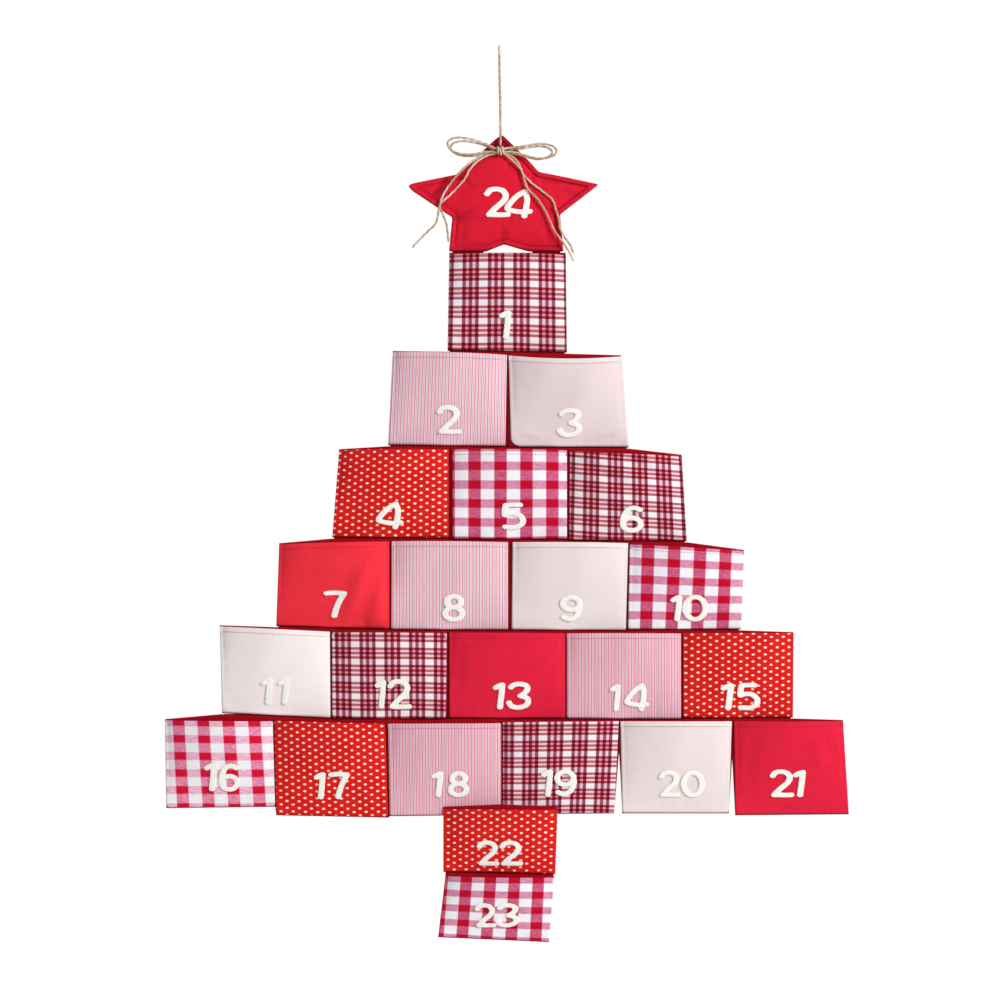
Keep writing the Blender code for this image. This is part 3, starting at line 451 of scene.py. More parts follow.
def stuffed_cloth():
    """Heights of the star's front cloth between its seams, on a square grid. The cloth is cut a
    little too large, held along the stitching, and pressed out by the filling."""
    x, z = np.meshgrid(np.arange(STUFF_LOW[0], STUFF_HIGH[0], STUFF_STEP),
                       np.arange(STUFF_LOW[1], STUFF_HIGH[1], STUFF_STEP))
    gap = np.where(star_reach(x, z) < 1, edge_gap(x, z), 0)
    kept = gap > SEAM_RIDGE - 0.6 * STUFF_STEP
    cells = quads(*x.shape)
    cells = cells[kept.ravel()[cells].all(1)]
    used, cells = np.unique(cells, return_inverse=True)
    cells = cells.reshape(-1, 4)
    mesh = bpy.data.meshes.new("stuffing")
    flat = np.stack([x.ravel()[used], np.zeros(len(used)), z.ravel()[used]], 1)
    mesh.from_pydata(flat.tolist(), [], cells[:, ::-1].tolist())
    trial = bpy.data.objects.new("stuffing", mesh)
    scene.collection.objects.link(trial)
    sewn = (gap.ravel()[used] < SEAM_RIDGE + 0.5 * STUFF_STEP) | (np.bincount(cells.ravel()) < 4)
    trial.vertex_groups.new(name="sewn").add(np.nonzero(sewn)[0].tolist(), 1.0, "REPLACE")
    cloth = trial.modifiers.new("cloth", "CLOTH")
    cloth.settings.mass = STUFF_MASS
    cloth.settings.bending_stiffness = STUFF_STIFFNESS
    cloth.settings.effector_weights.gravity = 0
    cloth.settings.vertex_group_mass = "sewn"
    cloth.settings.use_pressure = True
    cloth.settings.uniform_pressure_force = STUFF_PRESSURE
    cloth.settings.shrink_min = -STUFF_SLACK
    cloth.point_cache.frame_end = STUFF_STEPS
    for step in range(1, STUFF_STEPS + 1):
        scene.frame_set(step)
    settled = trial.evaluated_get(bpy.context.evaluated_depsgraph_get()).to_mesh()
    places = np.empty(len(settled.vertices) * 3, np.float32)
    settled.vertices.foreach_get("co", places)
    heights = np.zeros(x.size)
    heights[used] = np.clip(-places[1::3], 0, STUFF_CAP)
    bpy.data.objects.remove(trial)
    scene.frame_set(1)
    heights = np.pad(heights.reshape(x.shape), 1)
    heights = (heights[:-2] + 2 * heights[1:-1] + heights[2:]) / 4
    return (heights[:, :-2] + 2 * heights[:, 1:-1] + heights[:, 2:]) / 4


STUFFED = stuffed_cloth()


def stuffing_height(x, z):
    """The stuffed cloth's height at a spot, by shares of the four nearest grid points."""
    column = np.clip((x - STUFF_LOW[0]) / STUFF_STEP, 0, STUFFED.shape[1] - 1.001)
    row = np.clip((z - STUFF_LOW[1]) / STUFF_STEP, 0, STUFFED.shape[0] - 1.001)
    i, j = row.astype(int), column.astype(int)
    down, across = row - i, column - j
    return ((STUFFED[i, j] * (1 - across) + STUFFED[i, j + 1] * across) * (1 - down)
            + (STUFFED[i + 1, j] * (1 - across) + STUFFED[i + 1, j + 1] * across) * down)


def star_face(x, z):
    """How far the front cloth stands out at a spot: a ridge sqrt(sin(pi d / w)) high over the
    seam's width w, then the stuffed cloth inside it, less the creases."""
    gap = edge_gap(x, z)
    ridge = RIDGE_HEIGHT * np.sqrt(np.sin(math.pi * np.clip(gap / SEAM_RIDGE, 0, 1) ** 0.8))
    puff = stuffing_height(x, z)
    puff = puff + SEAM_STEP * (1 - np.exp(-np.clip(gap - SEAM_RIDGE, 0, None) / SEAM_STEP_RUN))
    height = np.where(gap < SEAM_RIDGE, ridge, 0.1 * MM + puff)
    fullness = np.clip(puff / CREASE_ROOM, 0, 1)
    for x0, z0, x1, z1, width, depth in STAR_CREASES:
        off, share = segment_gap(x, z, x0 * MM, z0 * MM, x1 * MM, z1 * MM)
        fade = np.sqrt(np.clip(1 - share, 0, 1)) * fullness
        depth, width = depth * MM, width * MM
        height -= depth * fade * bell(off, width)
        height += 0.5 * depth * fade * bell(off - 2 * width, width)
    dimple = np.hypot(x - EYELET[0], z - EYELET[1])
    return np.maximum(height, 0.05 * MM) * (1 - 0.75 * bell(dimple, 5 * MM))


def star_painted_shade(x, z):
    """Painted shade, 1 where the cloth lies deepest: bells exp(-(d / w)^2) along the stitched
    channel, stronger towards the right, and along the creases, and a slope at the edge, at the
    tip under the bow and where the legs are sewn in."""
    gap = edge_gap(x, z)
    # Painted shade in the stitched channel, stronger towards the right
    channel_shade = 0.28 + 0.34 * np.clip((x + 30 * MM) / (80 * MM), 0, 1)
    mark = channel_shade * bell(gap - SEAM_RIDGE, 0.9 * MM) + 0.5 * np.clip(1 - gap / (1.6 * MM), 0, 1)
    for x0, z0, x1, z1, width, depth in STAR_CREASES:
        off, share = segment_gap(x, z, x0 * MM, z0 * MM, x1 * MM, z1 * MM)
        mark = mark + 0.32 * depth * bell(off, 0.8 * width * MM) * np.sqrt(np.clip(1 - share, 0, 1))
    tip = np.clip((z + 106 * MM) / (6 * MM), 0, 1)
    legs = np.clip((-199 * MM - z) / (5 * MM), 0, 1)
    return np.clip(mark + 0.6 * tip + 0.6 * legs, 0, 0.8)


def add_mark(piece, name, values):
    """A number at every point of a piece, for its material to read."""
    mark = piece.data.attributes.new(name, "FLOAT", "POINT")
    mark.data.foreach_set("value", np.asarray(values, np.float32).ravel())


def add_star(material):
    """The stuffed star as one closed shell: a front and a back grid that run from the middle
    to the outline, joined round the outline and round the eyelet's hole."""
    angles = np.linspace(0, 2 * math.pi, 420, endpoint=False)
    shares = np.concatenate([np.linspace(0.0, 0.86, 40), np.linspace(0.875, 1.0, 22)])[1:]
    angle = star_angle[0] + np.mod(angles - star_angle[0], 2 * math.pi)
    reach = np.interp(angle, star_angle, star_radius, period=2 * math.pi)
    x = STAR_MIDDLE[0] + shares[:, None] * (reach * np.cos(angles))[None, :]
    z = STAR_MIDDLE[1] + shares[:, None] * (reach * np.sin(angles))[None, :]
    x = np.concatenate([[STAR_MIDDLE[0]], x.ravel()])
    z = np.concatenate([[STAR_MIDDLE[1]], z.ravel()])
    front = np.stack([x, STAR_SEAM_Y - star_face(x, z), z], 1)
    back = np.stack([x, np.full_like(x, STAR_BACK_Y), z], 1)
    ring = len(angles)
    faces = quads(len(shares), ring, wrap=True) + 1
    fan = np.stack([np.zeros(ring, int), 1 + np.arange(ring), 1 + (np.arange(ring) + 1) % ring], 1)
    centre = np.stack([x[faces].mean(1), z[faces].mean(1)], 1)
    faces = faces[np.hypot(*(centre - EYELET).T) > EYELET_RADIUS]
    steps = np.vstack([np.stack([faces[:, i], faces[:, (i + 1) % 4]], 1) for i in range(4)])
    known = {tuple(step) for step in steps.tolist()}
    inner = {(a, b) for a, b in fan[:, 1:].tolist()}
    known |= inner | {(b, a) for a, b in inner}
    count = len(x)
    walls = [(b, a, a + count, b + count) for a, b in steps.tolist()
             if (b, a) not in known and (a, b) not in inner]
    whole = (faces.tolist() + fan.tolist() + (faces[:, ::-1] + count).tolist()
             + (fan[:, ::-1] + count).tolist() + walls)
    piece = add_piece("star_cushion", np.vstack([front, back]), whole, material)
    point_out(piece)
    # Painted shade on the front cloth, none on the back
    add_mark(piece, "deep", np.concatenate([star_painted_shade(x, z), np.zeros(count)]))
    return piece


def read_mark(tree, name):
    """The number that a piece holds at each point under this name."""
    node = tree.nodes.new("ShaderNodeAttribute")
    node.attribute_name = name
    return node.outputs["Fac"]


def thread_bump(tree, shader, pitch, strength, extra=None):
    """A plain weave: the product of two sine waves along the cloth, over and under."""
    _, parts = place_on(tree)
    warp = maths(tree, "SINE", maths(tree, "MULTIPLY", parts[0], 2 * math.pi / pitch))
    weft = maths(tree, "SINE", maths(tree, "MULTIPLY", parts[2], 2 * math.pi / pitch))
    height = maths(tree, "MULTIPLY_ADD", maths(tree, "MULTIPLY", warp, weft), 0.5, 0.5)
    if extra is not None:
        height = maths(tree, "ADD", height, extra)
    bump(tree, shader, height, strength, 0.00025)


def plain_cotton(name, colour, shade, roughness=0.86, sheen=0.06, deep=None):
    """Solid dyed cotton: uneven dye in soft patches, slubs along both threads, a fine weave.
    Where the piece's own mark deep says so, in seams, creases and gaps, shade is painted in as a
    darker colour."""
    material, tree, shader = new_material(name, roughness, sheen)
    place, _ = place_on(tree)
    patches = noise(tree, place, 28.0, detail=3.0)
    grain = noise(tree, place, 800.0, detail=2.0, roughness=0.7)
    slub = noise(tree, place, 260.0, detail=2.0, stretch=(0.25, 1.0, 2.2))
    slub_up = noise(tree, place, 260.0, detail=2.0, stretch=(2.2, 1.0, 0.25))
    threads = maths(tree, "ADD", slub, slub_up)
    threads = maths(tree, "ADD", threads, maths(tree, "MULTIPLY", grain, 1.5))
    shares = maths(tree, "ADD", maths(tree, "MULTIPLY", patches, 0.3),
                   maths(tree, "MULTIPLY", maths(tree, "SUBTRACT", threads, 0.9), 0.45), clamp=True)
    cloth_colour = mixed(tree, shares, shade, colour)
    # Painted shade: the colour darkens towards the deep colour as the mark rises
    if deep is not None:
        cloth_colour = mixed(tree, read_mark(tree, "deep"), cloth_colour, deep)
    tree.links.new(cloth_colour, shader.inputs["Base Color"])
    thread_bump(tree, shader, 0.0006, 0.35, maths(tree, "MULTIPLY", slub, 0.6))
    return material


# The darker red is painted shade, laid where the star's mark is high: seams, creases, tip and legs
star_cotton = plain_cotton("star_red_cotton", srgb(236, 32, 58), srgb(200, 14, 42),
                           deep=srgb(118, 2, 20))
star_cushion = add_star(star_cotton)
dress(star_cushion, "red", "star", "star_front", "star_back")


# Topstitching: short stitches of red thread, sunk at both ends. Each is a six-sided
# spindle, thin at its ends, and a row of them follows a line on the cloth.
STITCH_LENGTH = 2.3 * MM
STITCH_GAP = 0.8 * MM
THREAD = 0.42 * MM
STITCH_SIDES = 6


def stitch_row(path, sink=0.0, length=STITCH_LENGTH, gap=STITCH_GAP, thread=THREAD):
    """Points and faces of stitches along a path: spindles whose radius is R sqrt(1 - t^4) for t
    from -1 to 1 along each."""
    run = run_along(path)
    starts = np.arange(gap / 2, run[-1] - length, length + gap)
    stations = np.array([-1, -0.8, -0.3, 0.3, 0.8, 1.0])
    marks = starts[:, None] + (stations[None, :] + 1) * length / 2
    line = along(marks, run, path)
    line[..., 1] += sink
    tangent = unit(line[:, -1:] - line[:, :1])
    side = unit(np.cross(tangent, np.array([0.0, 1.0, 0.0])))
    out = np.cross(side, tangent)
    radius = thread / 2 * np.sqrt(np.clip(1.04 - stations ** 4, 0, 1))
    around = np.linspace(0, 2 * math.pi, STITCH_SIDES, endpoint=False)
    spread = np.cos(around)[:, None] * side[:, :, None] + np.sin(around)[:, None] * out[:, :, None]
    points = line[:, :, None] + radius[None, :, None, None] * spread
    size = len(stations) * STITCH_SIDES
    offsets = np.arange(len(starts))[:, None, None] * size
    faces = quads(len(stations), STITCH_SIDES, wrap=True)[None] + offsets
    end = np.arange(STITCH_SIDES)
    caps = np.stack([end, size - 1 - end])[None] + offsets
    return (points.reshape(-1, 3),
            faces.reshape(-1, 4).tolist() + caps.reshape(-1, STITCH_SIDES).tolist())


def add_stitches(name, rows, material):
    """One piece from several rows of stitches."""
    points, faces, count = [], [], 0
    for row_points, row_faces in rows:
        points.append(row_points)
        faces += [[i + count for i in face] for face in row_faces]
        count += len(row_points)
    piece = add_piece(name, np.vstack(points), faces, material)
    point_out(piece)
    return piece


def make_thread(name, colour):
    """Sewing thread with a slight twist."""
    material, tree, shader = new_material(name, 0.6, sheen=0.2)
    place, _ = place_on(tree)
    twist = noise(tree, place, 900.0, detail=1.0)
    tree.links.new(mixed(tree, twist, tinted(colour, 0.7), colour), shader.inputs["Base Color"])
    return material


red_thread = make_thread("red_thread", srgb(196, 30, 52))
# The star's thread is a darker red than its cloth: real stitches, whose darkness also paints the
# stitched channel's shade
star_thread = make_thread("star_thread", srgb(134, 4, 26))
seam_line = closed_outline(np.array(STAR_OUTLINE) * MM, STAR_SPACING, 3)
seam_arm = seam_line - np.array(STAR_MIDDLE)
seam_tangent = unit(np.roll(seam_line, -1, axis=0) - np.roll(seam_line, 1, axis=0))
seam_inward = np.stack([seam_tangent[:, 1], -seam_tangent[:, 0]], 1)
seam_inward *= np.sign((seam_inward * -seam_arm).sum(1))[:, None]
stitch_line = seam_line + seam_inward * SEAM_RIDGE
keep = (edge_gap(stitch_line[:, 0], stitch_line[:, 1]) > 0.92 * SEAM_RIDGE) & (
    star_reach(stitch_line[:, 0], stitch_line[:, 1]) < 1)
stitch_line = stitch_line[keep]
stitch_path = np.stack([stitch_line[:, 0],
                        STAR_SEAM_Y - star_face(stitch_line[:, 0], stitch_line[:, 1]),
                        stitch_line[:, 1]], 1)
star_stitches = add_stitches("star_stitches", [stitch_row(stitch_path, sink=0.1 * MM)], star_thread)
dress(star_stitches, "red", "star")

# A ring of buttonhole stitches binds the eyelet that the twine passes through.
EYELET_THREAD = 0.9 * MM
bind_turn = np.linspace(0, 2 * math.pi, 721)
bind_wave = 26 * bind_turn
bind_reach = EYELET_RADIUS + EYELET_THREAD * (0.45 + 0.5 * np.cos(bind_wave))
bind_path = np.stack([EYELET[0] + bind_reach * np.cos(bind_turn),
                      -1.35 * MM - EYELET_THREAD * 0.35 * np.sin(bind_wave),
                      EYELET[1] + bind_reach * np.sin(bind_turn)], 1)
bind_row = stitch_row(bind_path, thread=0.6 * MM, gap=-0.4 * MM)
eyelet_binding = add_stitches("eyelet_binding", [bind_row], star_thread)
dress(eyelet_binding, "red", "star")


# The bow is tied round nothing but itself and sits just below the eyelet. Two doubled
# loops leave the wrapped knot to either side, and four cut ends hang over the star.
BOW_TWINE = 2.2 * MM
BOW_GAP = 0.2 * MM
EASE_WINDOW = 5
FREE_TWINE_Y = -2.5 * MM
KNOT_CENTRE = (1.3 * MM, -104.2 * MM)
KNOT_HALF_HEIGHT, KNOT_HALF_DEPTH, KNOT_TURNS, KNOT_PITCH = 3.1 * MM, 3.0 * MM, 3.2, 2.4 * MM
# Each strand's layer, counted in twines off the star, and its route across and up, in mm
BOW_STRANDS = {
    "bow_left_front": (1.15, ((-1, -102.3), (-6, -101), (-14.4, -96.8), (-26.2, -92.9),
        (-40.6, -90.9), (-49.1, -92.9), (-51.7, -97), (-49.7, -101.8), (-43.7, -105.6),
        (-35.2, -107.6), (-25.2, -107.4), (-15.2, -105.4), (-6, -105.2), (-1, -105.6))),
    "bow_left_back": (0.1, ((-1, -102.3), (-6, -102), (-14.4, -98.6), (-26, -95.4), (-38.4, -94.2),
        (-46.2, -96.6), (-48.8, -100.6), (-46.2, -105), (-39.2, -108.2), (-30.2, -109.2),
        (-21.2, -108.4), (-12.2, -106.4), (-5.5, -105.7), (-1, -105.6))),
    "bow_right_front": (1.15, ((3, -102.3), (9, -101.4), (14.6, -100.6), (20.9, -100), (30, -98.4),
        (39.2, -97.2), (48.3, -97.9), (54.8, -100.4), (56.9, -104.4), (54.1, -108.8),
        (44.6, -111.6), (35.3, -111.2), (24.8, -107.9), (15.6, -105.6), (9, -105), (3, -105.6))),
    "bow_right_back": (0.1, ((3, -102.3), (9, -102.2), (15.6, -102.2), (22.6, -101.6),
        (31.6, -100.2), (40.6, -99.4), (47.6, -100.6), (52, -103.6), (52.2, -107.2), (47.4, -110.4),
        (39.6, -112.2), (30.6, -111), (20.6, -107.8), (12.6, -106.4), (8, -105.9), (3, -105.6))),
    "bow_tail_left_long": (0.6, ((0, -105.2), (-6, -107.2), (-12.4, -109), (-19, -112.4),
        (-25, -117.2), (-30.2, -123.6), (-34.2, -131.4), (-42, -140.6), (-51, -149.6),
        (-57.6, -155.2), (-60.2, -160.2), (-61.4, -169.2), (-64, -177.2), (-70.6, -183.6),
        (-79.8, -193), (-87, -200.6))),
    "bow_tail_left_short": (0, ((0, -105.2), (-7, -106.2), (-16, -108), (-22.8, -111.6),
        (-30.2, -116.6), (-36.6, -122.4), (-43, -129), (-49, -136.6), (-55, -145.8),
        (-58.2, -153.4), (-59.6, -159.6), (-56.8, -166.8), (-53.2, -176), (-51.8, -185),
        (-50.8, -194.8))),
    "bow_tail_right_long": (0.9, ((2.4, -105.2), (7.2, -108.6), (11.6, -112.4), (16.8, -117),
        (21.6, -123.2), (24.1, -130.2), (27.4, -140.4), (31.8, -145.8), (37.2, -151.2),
        (44.4, -161.5), (49.6, -172), (54.9, -183.6), (62.6, -194.2), (69.6, -205), (74, -213.8))),
    "bow_tail_right_short": (0, ((3, -105.2), (9, -107.8), (14.6, -111.2), (19.2, -116.4),
        (23.8, -127), (31.3, -135.4), (41.6, -143.2), (52.3, -152.3), (56.2, -161.6), (59.4, -172),
        (60.8, -181.1), (65.3, -190.3), (71.6, -199.4), (73.8, -206.6))),
}


def laid_on_star(route, layer):
    """A flat route laid on the star: at each point the furthest that the cloth comes out within
    a twine's width, eased along the route, and then off it by half a twine and its layer."""
    path = smooth_route(np.array(route) * MM, RING_SPACING)
    x, z = path[:, 0], path[:, 1]
    offsets = np.array([-1, 0, 1]) * BOW_TWINE / 2
    found = np.full(len(path), FREE_TWINE_Y)
    for dx in offsets:
        for dz in offsets:
            inside = star_reach(x + dx, z + dz) < 1
            face = STAR_SEAM_Y - star_face(x + dx, z + dz)
            found = np.minimum(found, np.where(inside, face, FREE_TWINE_Y))
    for ease in (np.min, np.mean):
        padded = np.pad(found, EASE_WINDOW, mode="edge")
        spans = [padded[i:i + len(found)] for i in range(2 * EASE_WINDOW + 1)]
        found = ease(spans, axis=0)
    y = found - BOW_GAP - BOW_TWINE / 2 - layer * BOW_TWINE
    return np.stack([x, y, z], 1)


knot_y = float(laid_on_star(((-3, -104), (1, -104), (5, -104)), 0.6)[:, 1].mean())
knot_turn = np.linspace(0, 2 * math.pi * KNOT_TURNS, 200)
knot_path = np.stack([KNOT_CENTRE[0] + KNOT_PITCH * (knot_turn / (2 * math.pi) - KNOT_TURNS / 2),
                      knot_y - KNOT_HALF_DEPTH * 0.35 + KNOT_HALF_DEPTH * np.cos(knot_turn),
                      KNOT_CENTRE[1] + KNOT_HALF_HEIGHT * np.sin(knot_turn)
                      + 0.7 * MM * np.sin(knot_turn / 2)], 1)
bow_knot = swept_twine("bow_knot", knot_path, BOW_TWINE, (1, 0.0, 0.0), jute)
dress(bow_knot, "twine", "star", "bow")
for strand_name, (strand_layer, strand_route) in BOW_STRANDS.items():
    strand_path = laid_on_star(strand_route, strand_layer)
    strand = swept_twine(strand_name, strand_path, BOW_TWINE, (0, 1, 0), jute)
    dress(strand, "twine", "star", "bow")
    fibres = stray_fibres(f"{strand_name}_fibres", strand_path, BOW_TWINE, len(strand_path), "star")


# The backings are dark red cotton strips, one behind each row of pockets and one behind
# each pocket of the trunk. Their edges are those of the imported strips.
BACKING_CLOTH = 0.95 * MM
SEAM_THIN = 1.6 * MM
SEAM_LINE = 2.2 * MM


def cad_points(node):
    """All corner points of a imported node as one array."""
    mesh = frame["nodes"][node].data
    points = np.empty(len(mesh.vertices) * 3, np.float32)
    mesh.vertices.foreach_get("co", points)
    return points.reshape(-1, 3).astype(float)


def strip_edges(node):
    """The strip's top and bottom edges as heights against x, and the plane of its face."""
    points = cad_points(node)
    back = points[points[:, 1] > points[:, 1].max() - 0.1 * MM]
    spots = np.unique(np.round(back[:, (0, 2)], 6), axis=0)
    low, high = spots[:, 1].min(), spots[:, 1].max()
    top = spots[spots[:, 1] > low + 0.8 * (high - low)]
    foot = spots[spots[:, 1] <= low + 0.8 * (high - low)]
    return top[np.argsort(top[:, 0])], foot[np.argsort(foot[:, 0])], points[:, 1].min()


def strip_grid(node, numbers):
    """A grid over the strip, x from side to side and z from its top edge to its foot, finer
    near the seams between its pockets."""
    top, foot, face = strip_edges(node)
    x = [np.linspace(foot[0, 0], foot[-1, 0], int((foot[-1, 0] - foot[0, 0]) / 0.003)), foot[:, 0]]
    for number in numbers[:-1]:
        x.append(cad_points(f"pocket_{number:02d}_front")[:, 0].max() + np.arange(-6, 7) * 0.8 * MM)
    x = np.unique(np.concatenate(x).round(5))
    down = np.concatenate([[0, 0.006, 0.012, 0.018], np.linspace(0.04, 0.96, 22),
                           [0.982, 0.988, 0.994, 1]])[:, None]
    left_lean = np.interp(x, [x[0], x[-1]], [top[0, 0] - foot[0, 0], top[-1, 0] - foot[-1, 0]])
    across = x[None, :] + left_lean[None, :] * (1 - down)
    head = np.interp(x + left_lean, top[:, 0], top[:, 1])
    base = np.interp(x, foot[:, 0], foot[:, 1])
    z = head[None, :] * (1 - down) + base[None, :] * down
    return across, z, face


def closed_shell(front, back):
    """Points and faces of a front grid and a back grid of the same size, walled all round."""
    rows, columns = front.shape[:2]
    count = rows * columns
    border = np.concatenate([np.arange(columns - 1, -1, -1), np.arange(1, rows) * columns,
                             (rows - 1) * columns + np.arange(1, columns),
                             np.arange(rows - 2, 0, -1) * columns + columns - 1])
    following = np.roll(border, -1)
    walls = np.stack([following, border, border + count, following + count], 1)
    grid = quads(rows, columns)
    return (np.concatenate([front.reshape(-1, 3), back.reshape(-1, 3)]),
            np.vstack([grid, grid[:, ::-1] + count, walls]))


def seam_lines(numbers, x, z):
    """How near a spot is to a seam between neighbouring pockets: a bell exp(-(d / w)^2)."""
    near = np.zeros_like(x)
    for left, right in zip(numbers[:-1], numbers[1:]):
        one, other = cad_points(f"pocket_{left:02d}_front"), cad_points(f"pocket_{right:02d}_front")
        (x0, _, z0), (x1, _, z1) = (
            (one[np.argmax(one[:, 0] + lean * one[:, 2])]
             + other[np.argmin(other[:, 0] - lean * other[:, 2])]) / 2 for lean in (1, -1))
        near = np.maximum(near, bell(segment_gap(x, z, x0, z0, x1, z1)[0], SEAM_LINE))
    return near


def add_backing(node, numbers):
    """The strip as cloth. Its face waves by a quarter of a millimetre, and along the seams it
    thins to a third, so that the rows can fold on each other."""
    x, z, face = strip_grid(node, numbers)
    back = face + BACKING_CLOTH
    wave = 0.5 + 0.5 * np.sin(x / (17 * MM) + np.sin(z / (13 * MM))) * np.sin(z / (19 * MM))
    edge = np.minimum(z[:1] - z, z - z[-1:])
    thin = np.clip(1 - edge / SEAM_THIN, 0, 1)
    y = face + 0.2 * MM * wave * (1 - thin) + 0.65 * BACKING_CLOTH * thin
    points, faces = closed_shell(np.stack([x, y, z], -1),
                                 np.stack([x, np.full_like(x, back), z], -1))
    piece = add_piece(node.replace("backing", "lining"), points, faces, lining_cotton)
    point_out(piece)
    # Painted shade: along the seams between pockets the lining's face darkens, where it lies in
    # their shadow
    near = seam_lines(numbers, x, z).ravel()
    add_mark(piece, "deep", 0.8 * np.concatenate([near, 0 * near]))
    dress(piece, "lining", node.replace("_backing", ""), node)


# The lining's deep colour is painted shade for the gaps between pockets
lining_cotton = plain_cotton("lining_cotton", srgb(182, 8, 30), srgb(132, 2, 18), roughness=0.9,
                             deep=srgb(84, 2, 14))
ROWS = {
    "row_1": (1,), "row_2": (2, 3), "row_3": (4, 5, 6), "row_4": (7, 8, 9, 10),
    "row_5": (11, 12, 13, 14, 15), "row_6": (16, 17, 18, 19, 20, 21),
    "trunk_22": (22,), "trunk_23": (23,),
}
for row_name, row_numbers in ROWS.items():
    add_backing(f"{row_name}_backing", row_numbers)


# The pockets are cut from six cottons and linens and sewn to the backings along both
# sides and the foot, over a hem turned in at the mouth. Each stands open as photographed.
HEM_DEPTH = 5.0 * MM
# Pockets with a whiter strip along their right edge, and its width: a painted highlight where that
# edge turns to the key light
PAINTED_SIDE_HIGHLIGHT = {11: 4.0 * MM}
HEM_SHOWS = 0.35
HEM_ROLL = 0.55 * MM
HEM_STEP = 0.35 * MM
EDGE_ROLL = 0.9 * MM
FOOT_DROP = 0.3 * MM
CLOTH = 0.5 * MM
SEAM_SHARE = 0.031
MOUTH_ROUND = 0.62
BELLY = 1.3
# How far the mouth's edge sags at its middle
RIM_SAG = {3: 3.2 * MM, 6: 0.4 * MM}
USUAL_SAG = -0.7 * MM
# How round the two lower corners are, in millimetres
CORNER_ROUND = {3: (9, 1.6), 12: (3, 3), 16: (3, 2), 17: (4, 4), 20: (3, 3), 21: (3, 3)}
USUAL_ROUND = (1.6, 1.6)
# Points of a pocket's cloth across and below its rim, and of the stitches along its hem
POCKET_GRID = (58, 40)
HEM_POINTS = 160
HEM_SINK = -0.02 * MM
# Cloth that stands forward beside a side seam: share across, height, fall to its left and right
SIDE_SWELL = {7: (0.945, 8.0, 27.0, 4.0)}
# Folds in single pockets: two ends as shares across and down, width and depth
POCKET_FOLDS = {
    3: ((0.93, 0.85, 0.75, 0.98, 4, 1.2), (0.05, 0.9, 0.25, 0.97, 4, 1)),
    4: ((0.92, 0, 0.6, 0.35, 7, 1.6),),
    6: ((0.05, 0.1, 0.55, 0.42, 5, 1.5), (0.5, 0.05, 1, 0.4, 5, 1.5),
        (0.1, 0.5, 0.5, 0.7, 5, 1)),
    7: ((0.74, 0.97, 0.93, 0.25, 8, 4.6), (0.35, 0.1, 0.9, 0.2, 9, 0.9)),
    10: ((0.9, 0.1, 0.65, 0.5, 7, 1.2),),
    13: ((0.1, 0.2, 0.05, 0.8, 5, 1),),
    17: ((0, 0.9, 0.25, 0.55, 6, 1.2), (1, 0.95, 0.8, 0.6, 5, 1.2)),
    21: ((0.8, 0.1, 0.9, 0.55, 6, 1.2), (0.15, 0.15, 0.1, 0.8, 6, 0.8)),
}


def pocket_form(number):
    """The pocket's corners on the wall, the plane of its seam and how far its mouth gapes."""
    points = cad_points(f"pocket_{number:02d}_front")
    x, z = points[:, 0], points[:, 2]
    picks = [np.argmax(z - x), np.argmax(z + x), np.argmin(z + x), np.argmax(x - z)]
    seam = points[:, 1].max() - 1.0 * MM
    corners = points[picks][:, (0, 2)]
    corners[2:, 1] -= FOOT_DROP
    return corners, seam, seam - points[:, 1].min()


FORMS = {number: pocket_form(number) for number in range(1, 24)}


def rounded_corners(number, across, down):
    """Shares across and down with the two lower corners drawn in: within a corner's square the
    point (u, v) goes to (u sqrt(1 - v^2 / 2), v sqrt(1 - u^2 / 2)), from its inner corner."""
    left_round, right_round = CORNER_ROUND.get(number, USUAL_ROUND)
    reach = np.where(across < 0.5, left_round, right_round) * MM
    width, height = pocket_size(number)
    side = np.clip(1 - np.minimum(across, 1 - across) * width / reach, 0, 1)
    foot = np.clip(1 - (1 - down) * height / reach, 0, 1)
    inward = (side - side * np.sqrt(1 - foot ** 2 / 2)) * reach / width
    upward = (foot - foot * np.sqrt(1 - side ** 2 / 2)) * reach / height
    return across + np.where(across < 0.5, inward, -inward), down - upward


def pocket_spot(number, across, down):
    """Where a share across and down a pocket falls on the wall plane, its rim sagging as
    4 a (1 - a) (1 - d)."""
    (top_left, top_right, low_left, low_right), _, _ = FORMS[number]
    across, down = rounded_corners(number, across, down)
    across, down = across[..., None], down[..., None]
    left = top_left * (1 - down) + low_left * down
    right = top_right * (1 - down) + low_right * down
    spot = left * (1 - across) + right * across
    a, d = across[..., 0], down[..., 0]
    sag = RIM_SAG.get(number, USUAL_SAG) * 4 * a * (1 - a) * np.clip(1 - d, 0, 1)
    return spot[..., 0], spot[..., 1] - sag


def pocket_size(number):
    """Mean width and height of a pocket."""
    top_left, top_right, low_left, low_right = FORMS[number][0]
    width = (np.linalg.norm(top_right - top_left) + np.linalg.norm(low_right - low_left)) / 2
    height = (np.linalg.norm(top_left - low_left) + np.linalg.norm(top_right - low_right)) / 2
    return width, height


